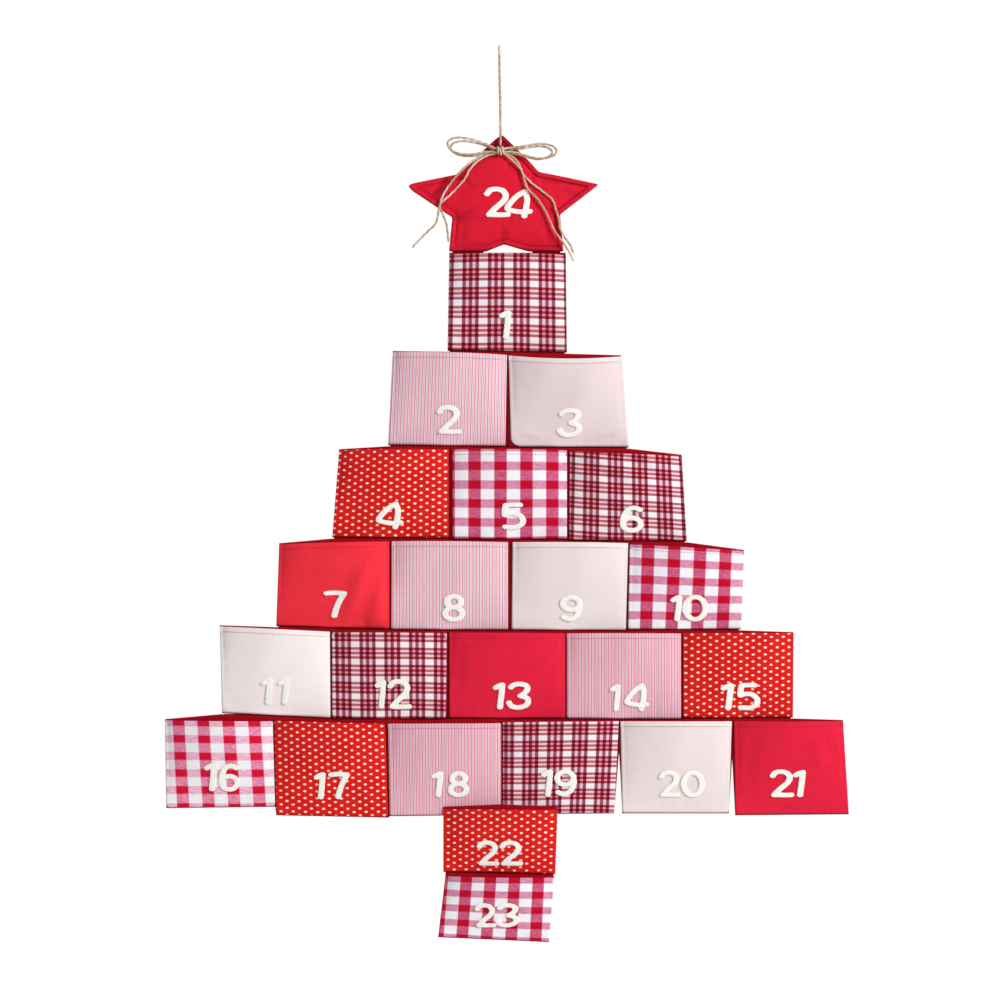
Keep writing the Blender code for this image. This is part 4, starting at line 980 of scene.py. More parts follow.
def pocket_face(number, across, down):
    """The y of the pocket's outer face: the seam's plane, less the mouth's depth times
    sin(pi a)^0.62 (1 - d^1.3), less the slack, puckers, swell and folds of the cloth."""
    _, seam, mouth = FORMS[number]
    width, height = pocket_size(number)
    a = np.clip((across - SEAM_SHARE) / (1 - 2 * SEAM_SHARE), 0, 1)
    d = np.clip(down / 0.95, 0, 1)
    arch = np.sin(math.pi * a)
    belly = mouth * arch ** MOUTH_ROUND * (1 - d ** BELLY)
    seeds = np.random.default_rng(number)
    slack = np.zeros_like(belly)
    for wide, tall in ((0.8, 0.6), (1.3, 0.9), (0.5, 1.6), (1.9, 1.3), (2.6, 0.4)):
        lean = seeds.uniform(-0.5, 0.5)
        phase = seeds.uniform(0, 2 * math.pi)
        turns = wide * across + (tall + lean) * down
        slack += np.cos(2 * math.pi * turns + phase) / (wide + tall)
    slack *= 0.8 * MM * arch ** 0.5 * (1 - d ** 6)
    phase = seeds.uniform(0, 2 * math.pi, 3)
    side = np.minimum(across, 1 - across) * width
    foot = np.clip(1 - down, 0, 1) * height
    pucker = (np.exp(-side / (7 * MM)) * np.cos(down * height / (1.7 * MM) + phase[0] + 5 * across)
              * np.clip(side / (2.5 * MM), 0, 1))
    pucker += (np.exp(-foot / (6 * MM)) * np.cos(across * width / (1.9 * MM) + phase[1])
               * np.clip(foot / (2.5 * MM), 0, 1))
    face = seam - belly - slack - 0.3 * MM * pucker
    if number in SIDE_SWELL:
        crest, high, fall_left, fall_right = SIDE_SWELL[number]
        off = (across - crest) * width / MM
        swell = bell(off, np.where(off < 0, fall_left, fall_right)) * arch ** 0.25
        face -= high * MM * swell * np.sin(math.pi * np.clip(down, 0, 1) ** 1.3) ** 0.7
    for a0, d0, a1, d1, wide, deep in POCKET_FOLDS.get(number, ()):
        off, share = segment_gap(across * width, down * height, a0 * width, d0 * height,
                                 a1 * width, d1 * height)
        lift = bell(off, wide * MM) - 0.7 * bell(off - 1.8 * wide * MM, wide * MM)
        face += deep * MM * lift * np.sin(math.pi * np.clip(share * 0.8 + 0.15, 0, 1)) * arch ** 0.5
    face = np.minimum(face, seam - 0.02 * MM)
    edge = np.minimum(side, foot)
    roll = 1 - np.sqrt(np.clip(1 - (1 - np.clip(edge / EDGE_ROLL, 0, 1)) ** 2, 0, 1))
    return face + 0.6 * MM * roll


def pocket_points(number, wide, tall):
    """The pocket's cloth from the hem's hidden edge, up inside, over the rolled rim and down
    the front: with s the length run from the rim, the roll is a half circle about it."""
    width, height = pocket_size(number)
    across = 0.5 - 0.5 * np.cos(np.linspace(0, math.pi, wide) * 0.999 + 0.0005)
    across = 0.35 * across + 0.65 * np.linspace(0, 1, wide)
    inside = -np.array([5.6, 4.6, 3.4, 2.2, 1.4]) * MM
    roll = np.linspace(-1, 1, 7) * HEM_ROLL * math.pi / 2
    front = np.array([1.4, 2.2, 3.2, 4.2, 4.8, 5.2, 5.8, 7.0]) * MM
    rest = np.linspace(8.6 * MM, height, tall)
    run = np.concatenate([inside, roll, front, rest])[:, None]
    turn = np.clip(run / HEM_ROLL, -math.pi / 2, math.pi / 2)
    below = np.where(np.abs(run) <= HEM_ROLL * math.pi / 2, HEM_ROLL * (1 - np.cos(turn)),
                     np.abs(run) - HEM_ROLL * (math.pi / 2 - 1))
    share_across = np.repeat(across[None, :], len(run), 0)
    share_down = below / height + np.zeros_like(share_across)
    x, z = pocket_spot(number, share_across, share_down)
    hem = HEM_STEP * np.clip((HEM_DEPTH + 0.5 * MM - below) / (1.0 * MM), 0, 1)
    open_side = np.clip(np.minimum(across, 1 - across) * width / (3 * MM), 0, 1)[None, :]
    y = pocket_face(number, share_across, share_down) - hem
    y = y + HEM_ROLL * (1 - np.sin(turn)) * open_side
    return x, y, z, share_across, run + np.zeros_like(share_across)


# How a pattern lies askew: its rows' drop to the right and its columns' drift at the foot
PATTERN_LEAN = {4: (-1.8, 0), 6: (4.5, -1), 10: (0.5, 0), 12: (0.8, 1), 15: (-1.8, 0),
                16: (0.6, 3), 17: (-1.8, 0), 22: (-1.8, 0), 23: (0.4, 2.5)}


def fabric_uv(number, across, run, pattern):
    """Pattern coordinates of the cloth, counted in repeats from the pattern's own start."""
    start_x, repeat_x, start_z, repeat_z = (value * MM for value in pattern)
    corners = FORMS[number][0]
    width, height = pocket_size(number)
    left = (corners[0][0] + corners[2][0]) / 2
    top = (corners[0][1] + corners[1][1]) / 2
    drop, drift = (value * MM for value in PATTERN_LEAN.get(number, (0.0, 0.0)))
    x = left + across * width - drift * (run / height - 0.5)
    z = top - run + drop * (across - 0.5) + 0.5 * MM * np.sin(across * 7 + number) * (run / height)
    return np.stack([(x - start_x) / repeat_x, (start_z - z) / repeat_z], -1)


def band(tree, coordinate, start, end, soft=0.02):
    """1 where the fraction of a repeat lies between start and end, with soft edges."""
    share = maths(tree, "FRACT", coordinate)
    middle, half = (start + end) / 2, (end - start) / 2
    gap = maths(tree, "ABSOLUTE", maths(tree, "SUBTRACT", share, middle))
    wrapped = maths(tree, "MINIMUM", gap, maths(tree, "SUBTRACT", 1.0, gap))
    inside = maths(tree, "SUBTRACT", half + soft / 2, wrapped)
    return maths(tree, "MULTIPLY", inside, 1 / soft, clamp=True)


def make_gingham(name, red, over_warp, over_weft):
    """Gingham: red and white bands both ways, in equal shares. Where a red thread crosses a
    white one the cloth shows both as short streaks, and red over red is full crimson."""
    material, tree, shader = new_material(name, 0.88, sheen=0.06)
    _, (u, v, _) = place_on(tree, "UV")
    place, _ = place_on(tree)
    warp = band(tree, u, 0.0, 0.485, soft=0.035)
    weft = band(tree, v, 0.0, 0.46, soft=0.05)
    streak = noise(tree, place, 620.0, detail=2.0, roughness=0.6, stretch=(0.3, 1.0, 2.0))
    streak = contrast(tree, streak, 0.3, 2.5)
    warp_cross = mixed(tree, streak, tinted(over_warp, 0.62), tinted(over_warp, 1.38))
    weft_cross = mixed(tree, streak, tinted(over_weft, 0.72), tinted(over_weft, 1.28))
    slub = noise(tree, place, 300.0, stretch=(0.4, 1, 2))
    white = mixed(tree, slub, srgb(238, 236, 242), srgb(254, 250, 253))
    crimson = mixed(tree, slub, tinted(red, 0.8), tinted(red, 1.15))
    colour = mixed(tree, weft, white, weft_cross)
    colour = mixed(tree, warp, colour, mixed(tree, weft, warp_cross, crimson))
    tree.links.new(colour, shader.inputs["Base Color"])
    thread_bump(tree, shader, 0.0007, 0.35, maths(tree, "MULTIPLY", streak, 0.5))
    return material


def make_plaid():
    """Plaid: in each repeat a white band and three dark lines with pink between them, both ways.
    The threads' colours multiply where they cross, and two coloured threads deepen further."""
    material, tree, shader = new_material("plaid", 0.9, sheen=0.06)
    _, (u, v, _) = place_on(tree, "UV")
    place, _ = place_on(tree)

    def lines(coordinate, half, centres):
        total = None
        for centre in centres:
            line = band(tree, coordinate, centre - half, centre + half, soft=0.025)
            total = line if total is None else maths(tree, "MAXIMUM", total, line)
        return total

    def threads(coordinate, half, centres, gap_colour, line_colour):
        lined = lines(coordinate, half, centres)
        between = band(tree, coordinate, 0.17, 0.83, soft=0.05)
        ground = mixed(tree, between, srgb(255, 255, 255), gap_colour)
        colour = mixed(tree, lined, ground, line_colour)
        cover = maths(tree, "MAXIMUM", lined, maths(tree, "MULTIPLY", between, 0.55))
        return colour, cover

    warp, warp_cover = threads(u, 0.068, (0.245, 0.5, 0.755), srgb(249, 208, 218),
                               srgb(152, 88, 108))
    weft, weft_cover = threads(v, 0.076, (0.24, 0.5, 0.76), srgb(254, 226, 230),
                               srgb(196, 106, 124))
    white = mixed(tree, noise(tree, place, 500.0, stretch=(0.5, 1, 1.5)), srgb(234, 226, 230),
                  srgb(252, 248, 250))
    colour = mixed(tree, 1.0, mixed(tree, 1.0, white, warp, "MULTIPLY"), weft, "MULTIPLY")
    both = maths(tree, "MULTIPLY", warp_cover, weft_cover)
    colour = mixed(tree, both, colour, mixed(tree, 1.0, colour, srgb(238, 92, 134), "MULTIPLY"))
    tree.links.new(colour, shader.inputs["Base Color"])
    thread_bump(tree, shader, 0.0007, 0.4)
    return material


def make_stripe(name, pink, pale, line):
    """Fine ticking: in each repeat a pink band, a white one, a hair-thin grey line, and white."""
    material, tree, shader = new_material(name, 0.88, sheen=0.06)
    _, (u, _, _) = place_on(tree, "UV")
    place, _ = place_on(tree)
    slow = noise(tree, place, 60.0, detail=2.0, stretch=(3.0, 1.0, 0.3))
    pink_band = band(tree, u, 0.0, 0.46, soft=0.12)
    grey_line = band(tree, u, 0.64, 0.83, soft=0.10)
    colour = mixed(tree, pink_band, pale, mixed(tree, slow, pink, srgb(236, 150, 172)))
    colour = mixed(tree, maths(tree, "MULTIPLY", grey_line, 0.85), colour, line)
    tree.links.new(colour, shader.inputs["Base Color"])
    thread_bump(tree, shader, 0.0006, 0.3)
    return material


def make_linen(name, thin, thick):
    """Undyed linen with a breath of pink: uneven threads both ways and a few faint flecks. It is
    sheer enough to look whiter where its mark says that a hem lies behind it; along a side the
    same mark paints a highlight."""
    material, tree, shader = new_material(name, 0.93, sheen=0.06)
    place, _ = place_on(tree)
    weft = noise(tree, place, 330.0, detail=3.0, roughness=0.65, stretch=(0.12, 1.0, 2.4))
    warp = noise(tree, place, 330.0, detail=3.0, roughness=0.65, stretch=(2.4, 1.0, 0.12))
    both = maths(tree, "MULTIPLY", maths(tree, "ADD", weft, warp), 0.5)
    colour = mixed(tree, contrast(tree, both, 0.25, 2.0), thin, thick)
    cloudy = noise(tree, place, 30.0, detail=3.0)
    colour = mixed(tree, maths(tree, "MULTIPLY", cloudy, 0.3), colour, thin)
    fleck = noise(tree, place, 190.0, detail=1.0, stretch=(0.8, 1, 1))
    fleck = maths(tree, "MULTIPLY", maths(tree, "GREATER_THAN", fleck, 0.76), 0.25)
    colour = mixed(tree, fleck, colour, srgb(206, 182, 186))
    doubled = maths(tree, "MULTIPLY", read_mark(tree, "doubled"), 0.8)
    colour = mixed(tree, doubled, colour, srgb(250, 242, 240))
    tree.links.new(colour, shader.inputs["Base Color"])
    thread_bump(tree, shader, 0.0008, 0.3, maths(tree, "MULTIPLY", both, 1.2))
    return material


def make_dots():
    """Orange-red cotton with small white ovals in staggered rows: a spot is white where
    (x / a)^2 + (z / b)^2 < 1 about the nearest oval's centre, on either of two lattices."""
    material, tree, shader = new_material("dotted_cotton", 0.86, sheen=0.06)
    _, (u, v, _) = place_on(tree, "UV")
    place, _ = place_on(tree)
    wobble = noise(tree, place, 140.0, detail=1.0)

    def ovals(shift):
        gaps = []
        for coordinate, radius in ((u, 0.136), (v, 0.158)):
            share = maths(tree, "FRACT", maths(tree, "ADD", coordinate, shift))
            gaps.append(maths(tree, "DIVIDE", maths(tree, "SUBTRACT", share, 0.5), radius))
        squares = [maths(tree, "MULTIPLY", gap, gap) for gap in gaps]
        return maths(tree, "ADD", *squares)

    nearest = maths(tree, "MINIMUM", ovals(0.0), ovals(0.5))
    wobble = maths(tree, "MULTIPLY", maths(tree, "SUBTRACT", wobble, 0.5), 0.9)
    nearest = maths(tree, "ADD", nearest, wobble)
    white = maths(tree, "MULTIPLY", maths(tree, "SUBTRACT", 1.1, nearest), 3.0, clamp=True)
    patches = noise(tree, place, 40.0, detail=3.0)
    red = mixed(tree, patches, srgb(208, 18, 16), srgb(226, 36, 26))
    tree.links.new(mixed(tree, white, red, srgb(253, 218, 208)), shader.inputs["Base Color"])
    thread_bump(tree, shader, 0.0006, 0.3, maths(tree, "MULTIPLY", white, 0.5))
    return material


plaid, dotted = make_plaid(), make_dots()
stripe = make_stripe("pink_stripe", srgb(222, 134, 156), srgb(255, 246, 250), srgb(146, 112, 130))
linen = make_linen("linen", srgb(231, 216, 215), srgb(239, 226, 225))
rosy_linen = make_linen("rosy_linen", srgb(226, 206, 207), srgb(234, 218, 218))
pale_linen = make_linen("pale_linen", srgb(244, 231, 230), srgb(251, 241, 240))
gingham = make_gingham("gingham", srgb(194, 4, 42), srgb(204, 90, 128), srgb(218, 142, 172))
light_gingham = make_gingham("light_gingham", srgb(220, 14, 54), srgb(230, 138, 168),
                             srgb(238, 184, 206))
deep_stripe = make_stripe("deep_pink_stripe", srgb(222, 120, 146), srgb(250, 226, 234),
                          srgb(152, 108, 130))
bright_red = plain_cotton("bright_red_cotton", srgb(255, 56, 70), srgb(230, 40, 58))
deep_red = plain_cotton("deep_red_cotton", srgb(238, 38, 68), srgb(208, 22, 52))
# Cloth of each pocket, and its pattern: start across, repeat across, start up, repeat down
PLAIN = (0, 10, 0, 10)
FABRIC_OF = {
    1: (plaid, "plaid", (-41.7, 25.5, -219.1, 18.5)),
    2: (stripe, "stripe", (-105, 3.32, 0, 10)),
    3: (rosy_linen, "linen", PLAIN),
    4: (dotted, "dots", (-90.2, 12.1, -412.1, 6.9)),
    5: (gingham, "gingham", (-31.1, 25.9, -415.1, 18.6)),
    6: (plaid, "plaid", (79.4, 24.4, -416.8, 16.6)),
    7: (bright_red, "red", PLAIN),
    8: (stripe, "stripe", (-107, 3.32, 0, 10)),
    9: (linen, "linen", PLAIN),
    10: (gingham, "gingham", (141.3, 25.66, -513.2, 17.3)),
    11: (pale_linen, "linen", PLAIN),
    12: (plaid, "plaid", (-143.6, 24.6, -597.6, 17.2)),
    13: (deep_red, "red", PLAIN),
    14: (deep_stripe, "stripe", (68, 3.32, 0, 10)),
    15: (dotted, "dots", (192.4, 12.1, -593.8, 6.9)),
    16: (light_gingham, "gingham", (-324.3, 25.4, -688.1, 17)),
    17: (dotted, "dots", (-194.8, 12.1, -675.1, 6.9)),
    18: (deep_stripe, "stripe", (-110, 3.25, 0, 10)),
    19: (plaid, "plaid", (18.6, 24.3, -690.6, 16.2)),
    20: (linen, "linen", PLAIN),
    21: (deep_red, "red", PLAIN),
    22: (dotted, "dots", (-50.9, 12.1, -764.6, 6.8)),
    23: (gingham, "gingham", (-40.9, 24.2, -843.1, 15.2)),
}
BODY_OF = {number: row for row, numbers in ROWS.items() for number in numbers}


def add_pocket(number):
    """One pocket's front cloth and the stitches that hold its hem."""
    material, slot_name, pattern = FABRIC_OF[number]
    x, y, z, across, run = pocket_points(number, *POCKET_GRID)
    uv = fabric_uv(number, across, run, pattern)
    name = f"pocket_{number:02d}_cloth"
    piece = add_piece(name, np.stack([x, y, z], -1), quads(*x.shape), material, uv)
    width, height = pocket_size(number)
    # The linen's whitening mark: over the hem at the mouth, and a painted highlight along the right
    # edge where listed
    painted_side_highlight = (1 - across) * width < PAINTED_SIDE_HIGHLIGHT.get(number, 0)
    add_mark(piece, "doubled", np.maximum(HEM_SHOWS * (run < HEM_DEPTH), painted_side_highlight))
    wall = piece.modifiers.new("cloth", "SOLIDIFY")
    wall.thickness = CLOTH
    wall.offset = -1.0
    dress(piece, slot_name, BODY_OF[number], f"pocket_{number:02d}_front")
    hem_across = np.linspace(0.02, 0.98, HEM_POINTS)
    hem_down = np.full_like(hem_across, HEM_DEPTH / height)
    hem_x, hem_z = pocket_spot(number, hem_across, hem_down)
    hem_y = pocket_face(number, hem_across, hem_down) - 0.5 * HEM_STEP
    hem = stitch_row(np.stack([hem_x, hem_y, hem_z], 1), sink=HEM_SINK)
    stitches = add_stitches(f"pocket_{number:02d}_stitches", [hem], red_thread)
    dress(stitches, slot_name, BODY_OF[number])


for pocket_number in range(1, 24):
    add_pocket(pocket_number)


# The numbers are cut from soft white felt and glued on. Each stroke is the track of a
# squat round brush, wider than it is high, and the strokes of a digit are felted into one.
FELT = 1.3 * MM
FELT_GAP = 0.15 * MM
BRUSH = 3.1 * MM
BRUSH_SQUAT = 0.74
BRUSH_SIDES = 28
TRACK_STEPS = 60
DIGIT_SPAN = {"0": 26.7, "1": 13.7, "2": 25.0, "3": 25.0, "4": 29.0, "5": 23.0, "6": 25.0,
              "7": 24.0, "8": 24.7, "9": 24.0}
DIGIT_RISE = 28.0
# Strokes of each digit across from its left edge and up from its foot, in millimetres
STROKES = {
    "1": (((3, 22.2), (6, 24), (9.5, 25.2)), ((9.9, 25.2), (8.8, 14), (7.4, 2.8))),
    "2": (((3.1, 21.5), (6.1, 25), (12.2, 25.8), (17.8, 24.1), (20.2, 19.7), (17.8, 14.7),
           (11.1, 9.1), (5, 3)), ((5, 3), (14, 2.8), (22, 3))),
    "3": (((4.8, 22.6), (7.6, 25), (13.7, 25.9), (19.8, 24.4), (21.2, 21.1), (18.7, 17.2),
           (14.2, 14.2)), ((14.2, 14.2), (20.3, 12.2), (22, 8.9), (19.8, 5), (12.6, 2.8),
                           (5.9, 3.9), (2.8, 7.6))),
    "4": (((20.8, 26), (12.4, 21.1), (5.8, 14.4), (3.3, 10), (9.1, 7.8), (19.1, 6.7),
           (26, 7.4)), ((20.8, 26), (23, 20), (22.4, 12.2), (20.2, 2.8))),
    "5": (((4.6, 25), (10, 25.4), (17.3, 25.3)), ((4.2, 25), (3.2, 20), (3, 15.4)),
          ((3, 15.2), (8, 16.7), (14.7, 16.1), (19.7, 11.7), (19.1, 6.1), (12.4, 2.8), (3.4, 3.3))),
    "6": (((20.6, 23.3), (15.6, 25.2), (8.9, 23.9), (4.5, 17.2), (3.3, 10.6)),),
    "7": (((3, 25), (11.1, 25.6), (20.6, 25)), ((20.6, 25), (15.6, 16.9), (12.4, 9.1), (10.6, 3))),
    "9": (((20.3, 19.4), (20.6, 13.3), (17.2, 6.4), (10.6, 3.3), (4.2, 5.2)),),
}
# Rings of digits: centre across and up, and the two radii of the brush's track
RINGS = {
    "0": ((13.3, 14, 10, 11.4),),
    "6": ((12.4, 8.9, 9, 6.4),),
    "8": ((13.7, 19.9, 7.2, 5.4), (13.5, 8.4, 8.6, 5.9)),
    "9": ((11.9, 18.9, 8.6, 6.3),),
}
# Every digit: left and right edge, foot and head, in millimetres from the hook
NUMBERS = {
    1: (("1", -0.6, 12.7, -292.6, -262.6),),
    2: (("2", -63.2, -37.8, -387.5, -357.8),),
    3: (("3", 56.9, 82.5, -390.8, -361.2),),
    4: (("4", -123.8, -95.5, -482.6, -454.6),),
    5: (("5", 2, 26.5, -482.6, -454.8),),
    6: (("6", 119.8, 144.8, -485.6, -457.8),),
    7: (("7", -175.7, -151.5, -571.3, -542.7),),
    8: (("8", -59.2, -34.5, -574.6, -546),),
    9: (("9", 59.9, 83.3, -575, -547),),
    10: (("1", 170.4, 183.4, -574.4, -546.9), ("0", 182.3, 208.9, -574.4, -546.9)),
    11: (("1", -238.5, -225.2, -657.8, -629.5), ("1", -221.5, -208.5, -657.8, -629.5)),
    12: (("1", -124.5, -112.5, -662, -631.6), ("2", -112, -87.2, -662.4, -631.3)),
    13: (("1", -7, 6.7, -662.6, -634.2), ("3", 6.6, 31.7, -662.8, -634)),
    14: (("1", 110.4, 121.7, -664.5, -635.8), ("4", 124.6, 149.3, -664.5, -635.8)),
    15: (("1", 220.5, 235.3, -663.2, -634.8), ("5", 237.5, 260.5, -663.2, -634.8)),
    16: (("1", -294.8, -280.4, -744.3, -713.6), ("6", -280.4, -258.7, -744.3, -715)),
    17: (("1", -185.3, -172.7, -752.3, -723.6), ("7", -170.8, -148.8, -752.3, -723.6)),
    18: (("1", -68.3, -55, -749.9, -722.9), ("8", -53.3, -30.5, -749.9, -722.9)),
    19: (("1", 41.7, 54.2, -749.8, -720.9), ("9", 54.5, 77.3, -749.8, -720.9)),
    20: (("2", 158.8, 180.7, -750, -722.3), ("0", 180.7, 205.5, -750, -722.3)),
    21: (("2", 269.3, 294.6, -750.2, -721.4), ("1", 292.6, 306.5, -750.2, -721.4)),
    22: (("2", -22.7, 0, -818.2, -792), ("2", -0.3, 23.7, -818.2, -792)),
    23: (("2", -24.8, -3.2, -879.5, -854.5), ("3", -4.3, 19.6, -879.5, -854.5)),
    24: (("2", -15.8, 11.4, -171, -139.9), ("4", 4.5, 33.4, -172.4, -142.4)),
}


def brush_track(path, radius_x, radius_z):
    """A flat pad of felt swept along a stroke: across it the height is (1 - t^6)^(1/6) of the
    felt's thickness, and its width closes in a half circle at each end."""
    squashed = path / np.array([radius_x, radius_z])
    run = run_along(squashed)
    ends = np.sin(np.linspace(0, math.pi / 2, 7))[:-1]
    marks = np.concatenate([ends - 1, np.linspace(0, run[-1], max(4, int(run[-1] / 0.35))),
                            run[-1] + 1 - ends[::-1]])
    inner = np.clip(marks, 0, run[-1])
    spine = along(inner, run, squashed)
    steps = np.linspace(0, run[-1], TRACK_STEPS)
    tangent = unit(along(inner, steps, unit(np.gradient(along(steps, run, squashed), axis=0))))
    spine += tangent * (marks - inner)[:, None]
    half = np.sqrt(np.clip(1 - (marks - inner) ** 2, 0.0, 1)) + 0.01
    normal = np.stack([-tangent[:, 1], tangent[:, 0]], 1)
    turn = np.linspace(0, 2 * math.pi, BRUSH_SIDES, endpoint=False)
    width = np.sign(np.cos(turn)) * np.abs(np.cos(turn)) ** 0.5
    depth = np.sign(np.sin(turn)) * np.abs(np.sin(turn)) ** 0.5
    flat = spine[:, None] + (half[:, None] * width[None, :])[..., None] * normal[:, None]
    flat = flat * np.array([radius_x, radius_z])
    lift = 0.5 + 0.5 * depth[None, :] * np.clip(half, 0.3, 1)[:, None] ** 0.3
    return flat, lift


def ring_path(across, up, wide, high):
    """An ellipse as a closed stroke that runs a little past its start."""
    turn = np.linspace(0, 2 * math.pi * 1.02, TRACK_STEPS) + 1.2
    return np.stack([across + wide * np.cos(turn), up + high * np.sin(turn)], 1)


def share_of_pocket(number, x, z):
    """Shares across and down a pocket of spots on the wall plane, by three rounds of solving
    for one with the other held."""
    top_left, top_right, low_left, low_right = FORMS[number][0]
    down = np.full_like(x, 0.5)
    across = np.full_like(x, 0.5)
    for _ in range(3):
        left = top_left[0] * (1 - down) + low_left[0] * down
        right = top_right[0] * (1 - down) + low_right[0] * down
        across = (x - left) / (right - left)
        head = top_left[1] * (1 - across) + top_right[1] * across
        base = low_left[1] * (1 - across) + low_right[1] * across
        down = (head - z) / (head - base)
    return across, down


def carrier_face(number, x, z):
    """The y of the cloth under a number, on its pocket or on the star."""
    if number == 24:
        return STAR_SEAM_Y - star_face(x, z)
    across, down = share_of_pocket(number, x, z)
    return pocket_face(number, across, down)


def make_felt():
    """White wool felt: matted fibres, a little uneven in colour, with a soft nap."""
    material, tree, shader = new_material("white_felt", 0.96, sheen=0.3, sheen_roughness=0.7)
    place, _ = place_on(tree)
    fibres = noise(tree, place, 900.0, detail=4.0, roughness=0.7)
    cloudy = noise(tree, place, 120.0, detail=2.0)
    colour = mixed(tree, fibres, srgb(240, 236, 226), srgb(255, 254, 248))
    colour = mixed(tree, maths(tree, "MULTIPLY", cloudy, 0.3), colour, srgb(248, 243, 232))
    tree.links.new(colour, shader.inputs["Base Color"])
    bump(tree, shader, fibres, 0.55, 0.0005)
    return material


felt = make_felt()
felt_nap = bpy.data.textures.new("felt_nap", "CLOUDS")
felt_nap.noise_scale = 1.7 * MM


def add_number(number):
    """One felt number, draped on its cloth: every stroke's pad follows the cloth beneath."""
    points, faces, count = [], [], 0
    for digit, left, right, foot, head in NUMBERS[number]:
        scale = np.array([(right - left) / DIGIT_SPAN[digit], (head - foot) / DIGIT_RISE])
        brush = np.array([BRUSH, BRUSH * BRUSH_SQUAT]) * (0.35 + 0.65 * scale)
        strokes = [smooth_route(stroke, 0.6) for stroke in STROKES.get(digit, ())]
        strokes += [ring_path(*ring) for ring in RINGS.get(digit, ())]
        for stroke in strokes:
            path = (np.array([left, foot]) + stroke * scale) * MM
            flat, lift = brush_track(path, *brush)
            y = carrier_face(number, flat[..., 0], flat[..., 1]) - FELT_GAP - FELT * lift
            pad = np.stack([flat[..., 0], y, flat[..., 1]], -1)
            rows, ring = pad.shape[:2]
            points.append(pad.reshape(-1, 3))
            faces += (quads(rows, ring, wrap=True) + count).tolist()
            last = count + (rows - 1) * ring
            faces += [[count + i for i in range(ring)], [last + ring - 1 - i for i in range(ring)]]
            count += rows * ring
    piece = add_piece(f"felt_{number:02d}", np.vstack(points), faces, felt)
    point_out(piece)
    felting = piece.modifiers.new("felting", "REMESH")
    felting.mode = "VOXEL"
    felting.voxel_size = 0.38 * MM
    felting.use_smooth_shade = True
    settle = piece.modifiers.new("settle", "SMOOTH")
    settle.factor = 0.5
    settle.iterations = 2
    nap = piece.modifiers.new("nap", "DISPLACE")
    nap.texture = felt_nap
    nap.strength = 0.7 * MM
    dress(piece, "felt", BODY_OF.get(number, "star"), f"number_{number:02d}")


for felt_number in range(1, 25):
    add_number(felt_number)


# Strips of lining tape join each row to the next behind the seam, and each leg of the
# star to the top row.
TAPE_REACH = 5.0 * MM
TAPE_CLOTH = 0.35 * MM
TAPE_PLANE = 0.12 * MM
TAPE_INSET = 2.0 * MM
LEG_TAPES = {"left": (-47.0 * MM, -16.0 * MM), "right": (33.0 * MM, 61.0 * MM)}


def add_tape(name, upper, lower, left, right, seam_z, plane_y):
    """A flat tape across one seam. The upper and lower bodies are not used."""
    x, z = np.meshgrid(np.linspace(left, right, int((right - left) / 0.004) + 2),
                       seam_z + np.linspace(TAPE_REACH, -TAPE_REACH, 17))
    y = np.full_like(x, plane_y + TAPE_PLANE)
    points = np.stack([x, y, z], -1)
    shell_points, faces = closed_shell(points, points + np.array([0, TAPE_CLOTH, 0]))
    piece = add_piece(name, shell_points, faces, lining_cotton)
    point_out(piece)
    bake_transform(piece)


FOLDS = {joint["child"]: joint for joint in frame["joints"] if joint["name"].endswith("_fold")}
for lower_body in ("row_2", "row_3", "row_4", "row_5", "row_6", "trunk_23"):
    fold = FOLDS[lower_body]
    _, upper_foot, _ = strip_edges(f"{fold['parent']}_backing")
    add_tape(f"seam_tape_{lower_body}", fold["parent"], lower_body,
             upper_foot[0, 0] + TAPE_INSET, upper_foot[-1, 0] - TAPE_INSET, *fold["pos_m"][:0:-1])
for leg_name, leg_edges in LEG_TAPES.items():
    add_tape(f"seam_tape_{leg_name}_leg", "star", "row_1", *leg_edges,
             *FOLDS["row_1"]["pos_m"][:0:-1])


# The room: a pale floor well below, plain white all round, a soft key light from the
# right and above, a weak one from the left, and one behind that lights the back.
FLOOR_Z = -1.55
FLOOR_RADIUS = 2.4
FLOOR_GLOW = 0.5
FLOOR_SIDES = 128
KEY_LIGHT = ((2.5, -2.3, 1.1), 1.2, 120.0)
FILL_LIGHT = ((-2.3, -2.4, -0.2), 2.0, 13.0)
BACK_LIGHT = ((1.4, 3.0, 0.9), 2.0, 50.0)
AMBIENT = 0.30

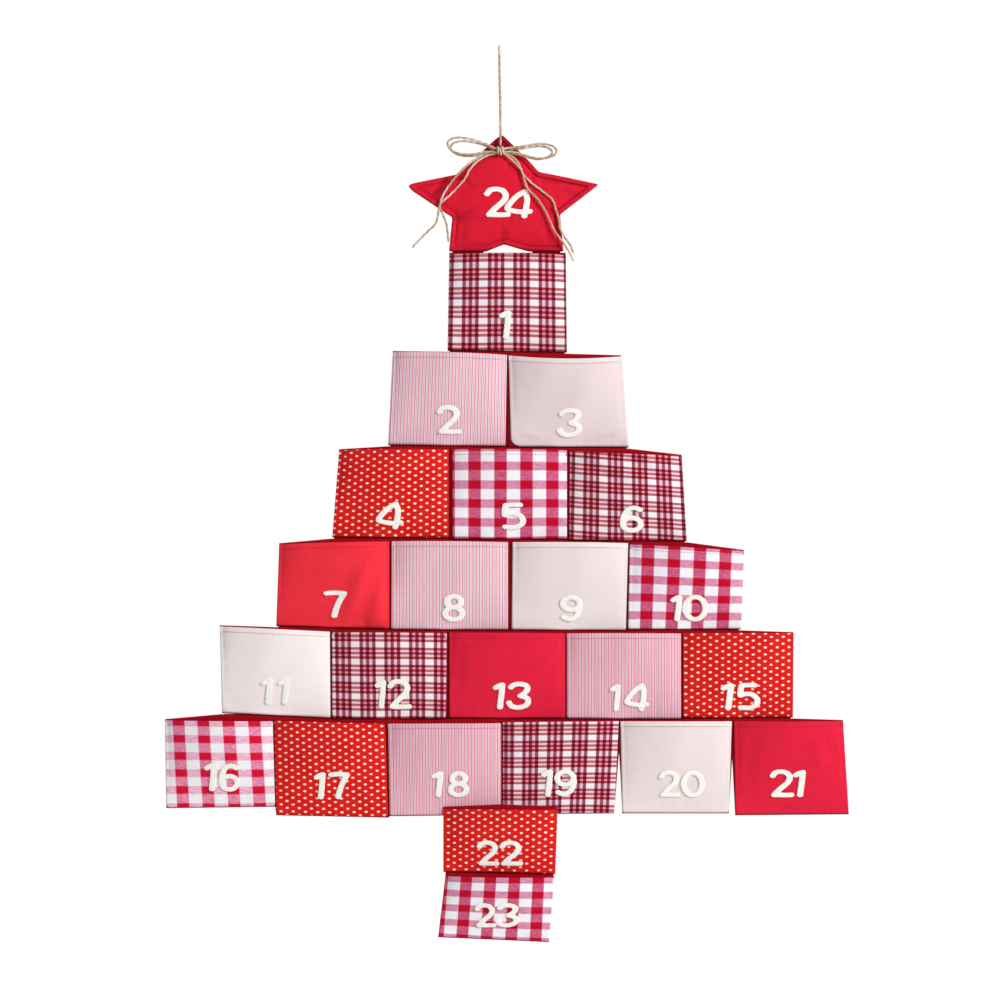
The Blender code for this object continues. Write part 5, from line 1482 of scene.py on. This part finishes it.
floor_material, floor_tree, floor_shader = new_material("floor", 0.9)
floor_shader.inputs["Base Color"].default_value = (0.9, 0.9, 0.9, 1.0)
floor_shader.inputs["Emission Color"].default_value = (1.0, 1.0, 1.0, 1.0)
seen_floor = floor_tree.nodes.new("ShaderNodeLightPath").outputs["Is Camera Ray"]
floor_tree.links.new(maths(floor_tree, "MULTIPLY", seen_floor, FLOOR_GLOW),
                     floor_shader.inputs["Emission Strength"])
rim = np.linspace(0, 2 * math.pi, FLOOR_SIDES, endpoint=False)
floor = add_piece("floor", np.stack([FLOOR_RADIUS * np.cos(rim), FLOOR_RADIUS * np.sin(rim),
                                     np.full_like(rim, FLOOR_Z)], 1), [list(range(FLOOR_SIDES))],
                  floor_material, flat=True)


def add_light(name, place, size, power):
    """A soft square light that faces the middle of the tree."""
    light = bpy.data.lights.new(name, "AREA")
    light.size = size
    light.energy = power
    lamp = bpy.data.objects.new(name, light)
    lamp.location = place
    aim = np.array([0.0, 0.0, PICTURE_CENTRE[1]]) - np.array(place)
    lamp.rotation_euler = (math.acos(-aim[2] / np.linalg.norm(aim)), 0.0,
                           math.atan2(aim[1], aim[0]) - math.pi / 2)
    scene.collection.objects.link(lamp)


add_light("key_light", *KEY_LIGHT)
add_light("fill_light", *FILL_LIGHT)
add_light("back_light", *BACK_LIGHT)

world = bpy.data.worlds.new("studio")
scene.world = world
world.use_nodes = True
sky = world.node_tree
seen = sky.nodes["Background"]
seen.inputs["Color"].default_value = (1.0, 1.0, 1.0, 1.0)
seen.inputs["Strength"].default_value = 1.0
lit = sky.nodes.new("ShaderNodeBackground")
lit.inputs["Color"].default_value = (1.0, 1.0, 1.0, 1.0)
lit.inputs["Strength"].default_value = AMBIENT
ray = sky.nodes.new("ShaderNodeLightPath")
direct = maths(sky, "MAXIMUM", ray.outputs["Is Glossy Ray"], ray.outputs["Is Transmission Ray"])
direct = maths(sky, "MAXIMUM", ray.outputs["Is Camera Ray"], direct)
blend_sky = sky.nodes.new("ShaderNodeMixShader")
sky.links.new(direct, blend_sky.inputs[0])
sky.links.new(lit.outputs[0], blend_sky.inputs[1])
sky.links.new(seen.outputs[0], blend_sky.inputs[2])
sky.links.new(blend_sky.outputs[0], sky.nodes["World Output"].inputs["Surface"])
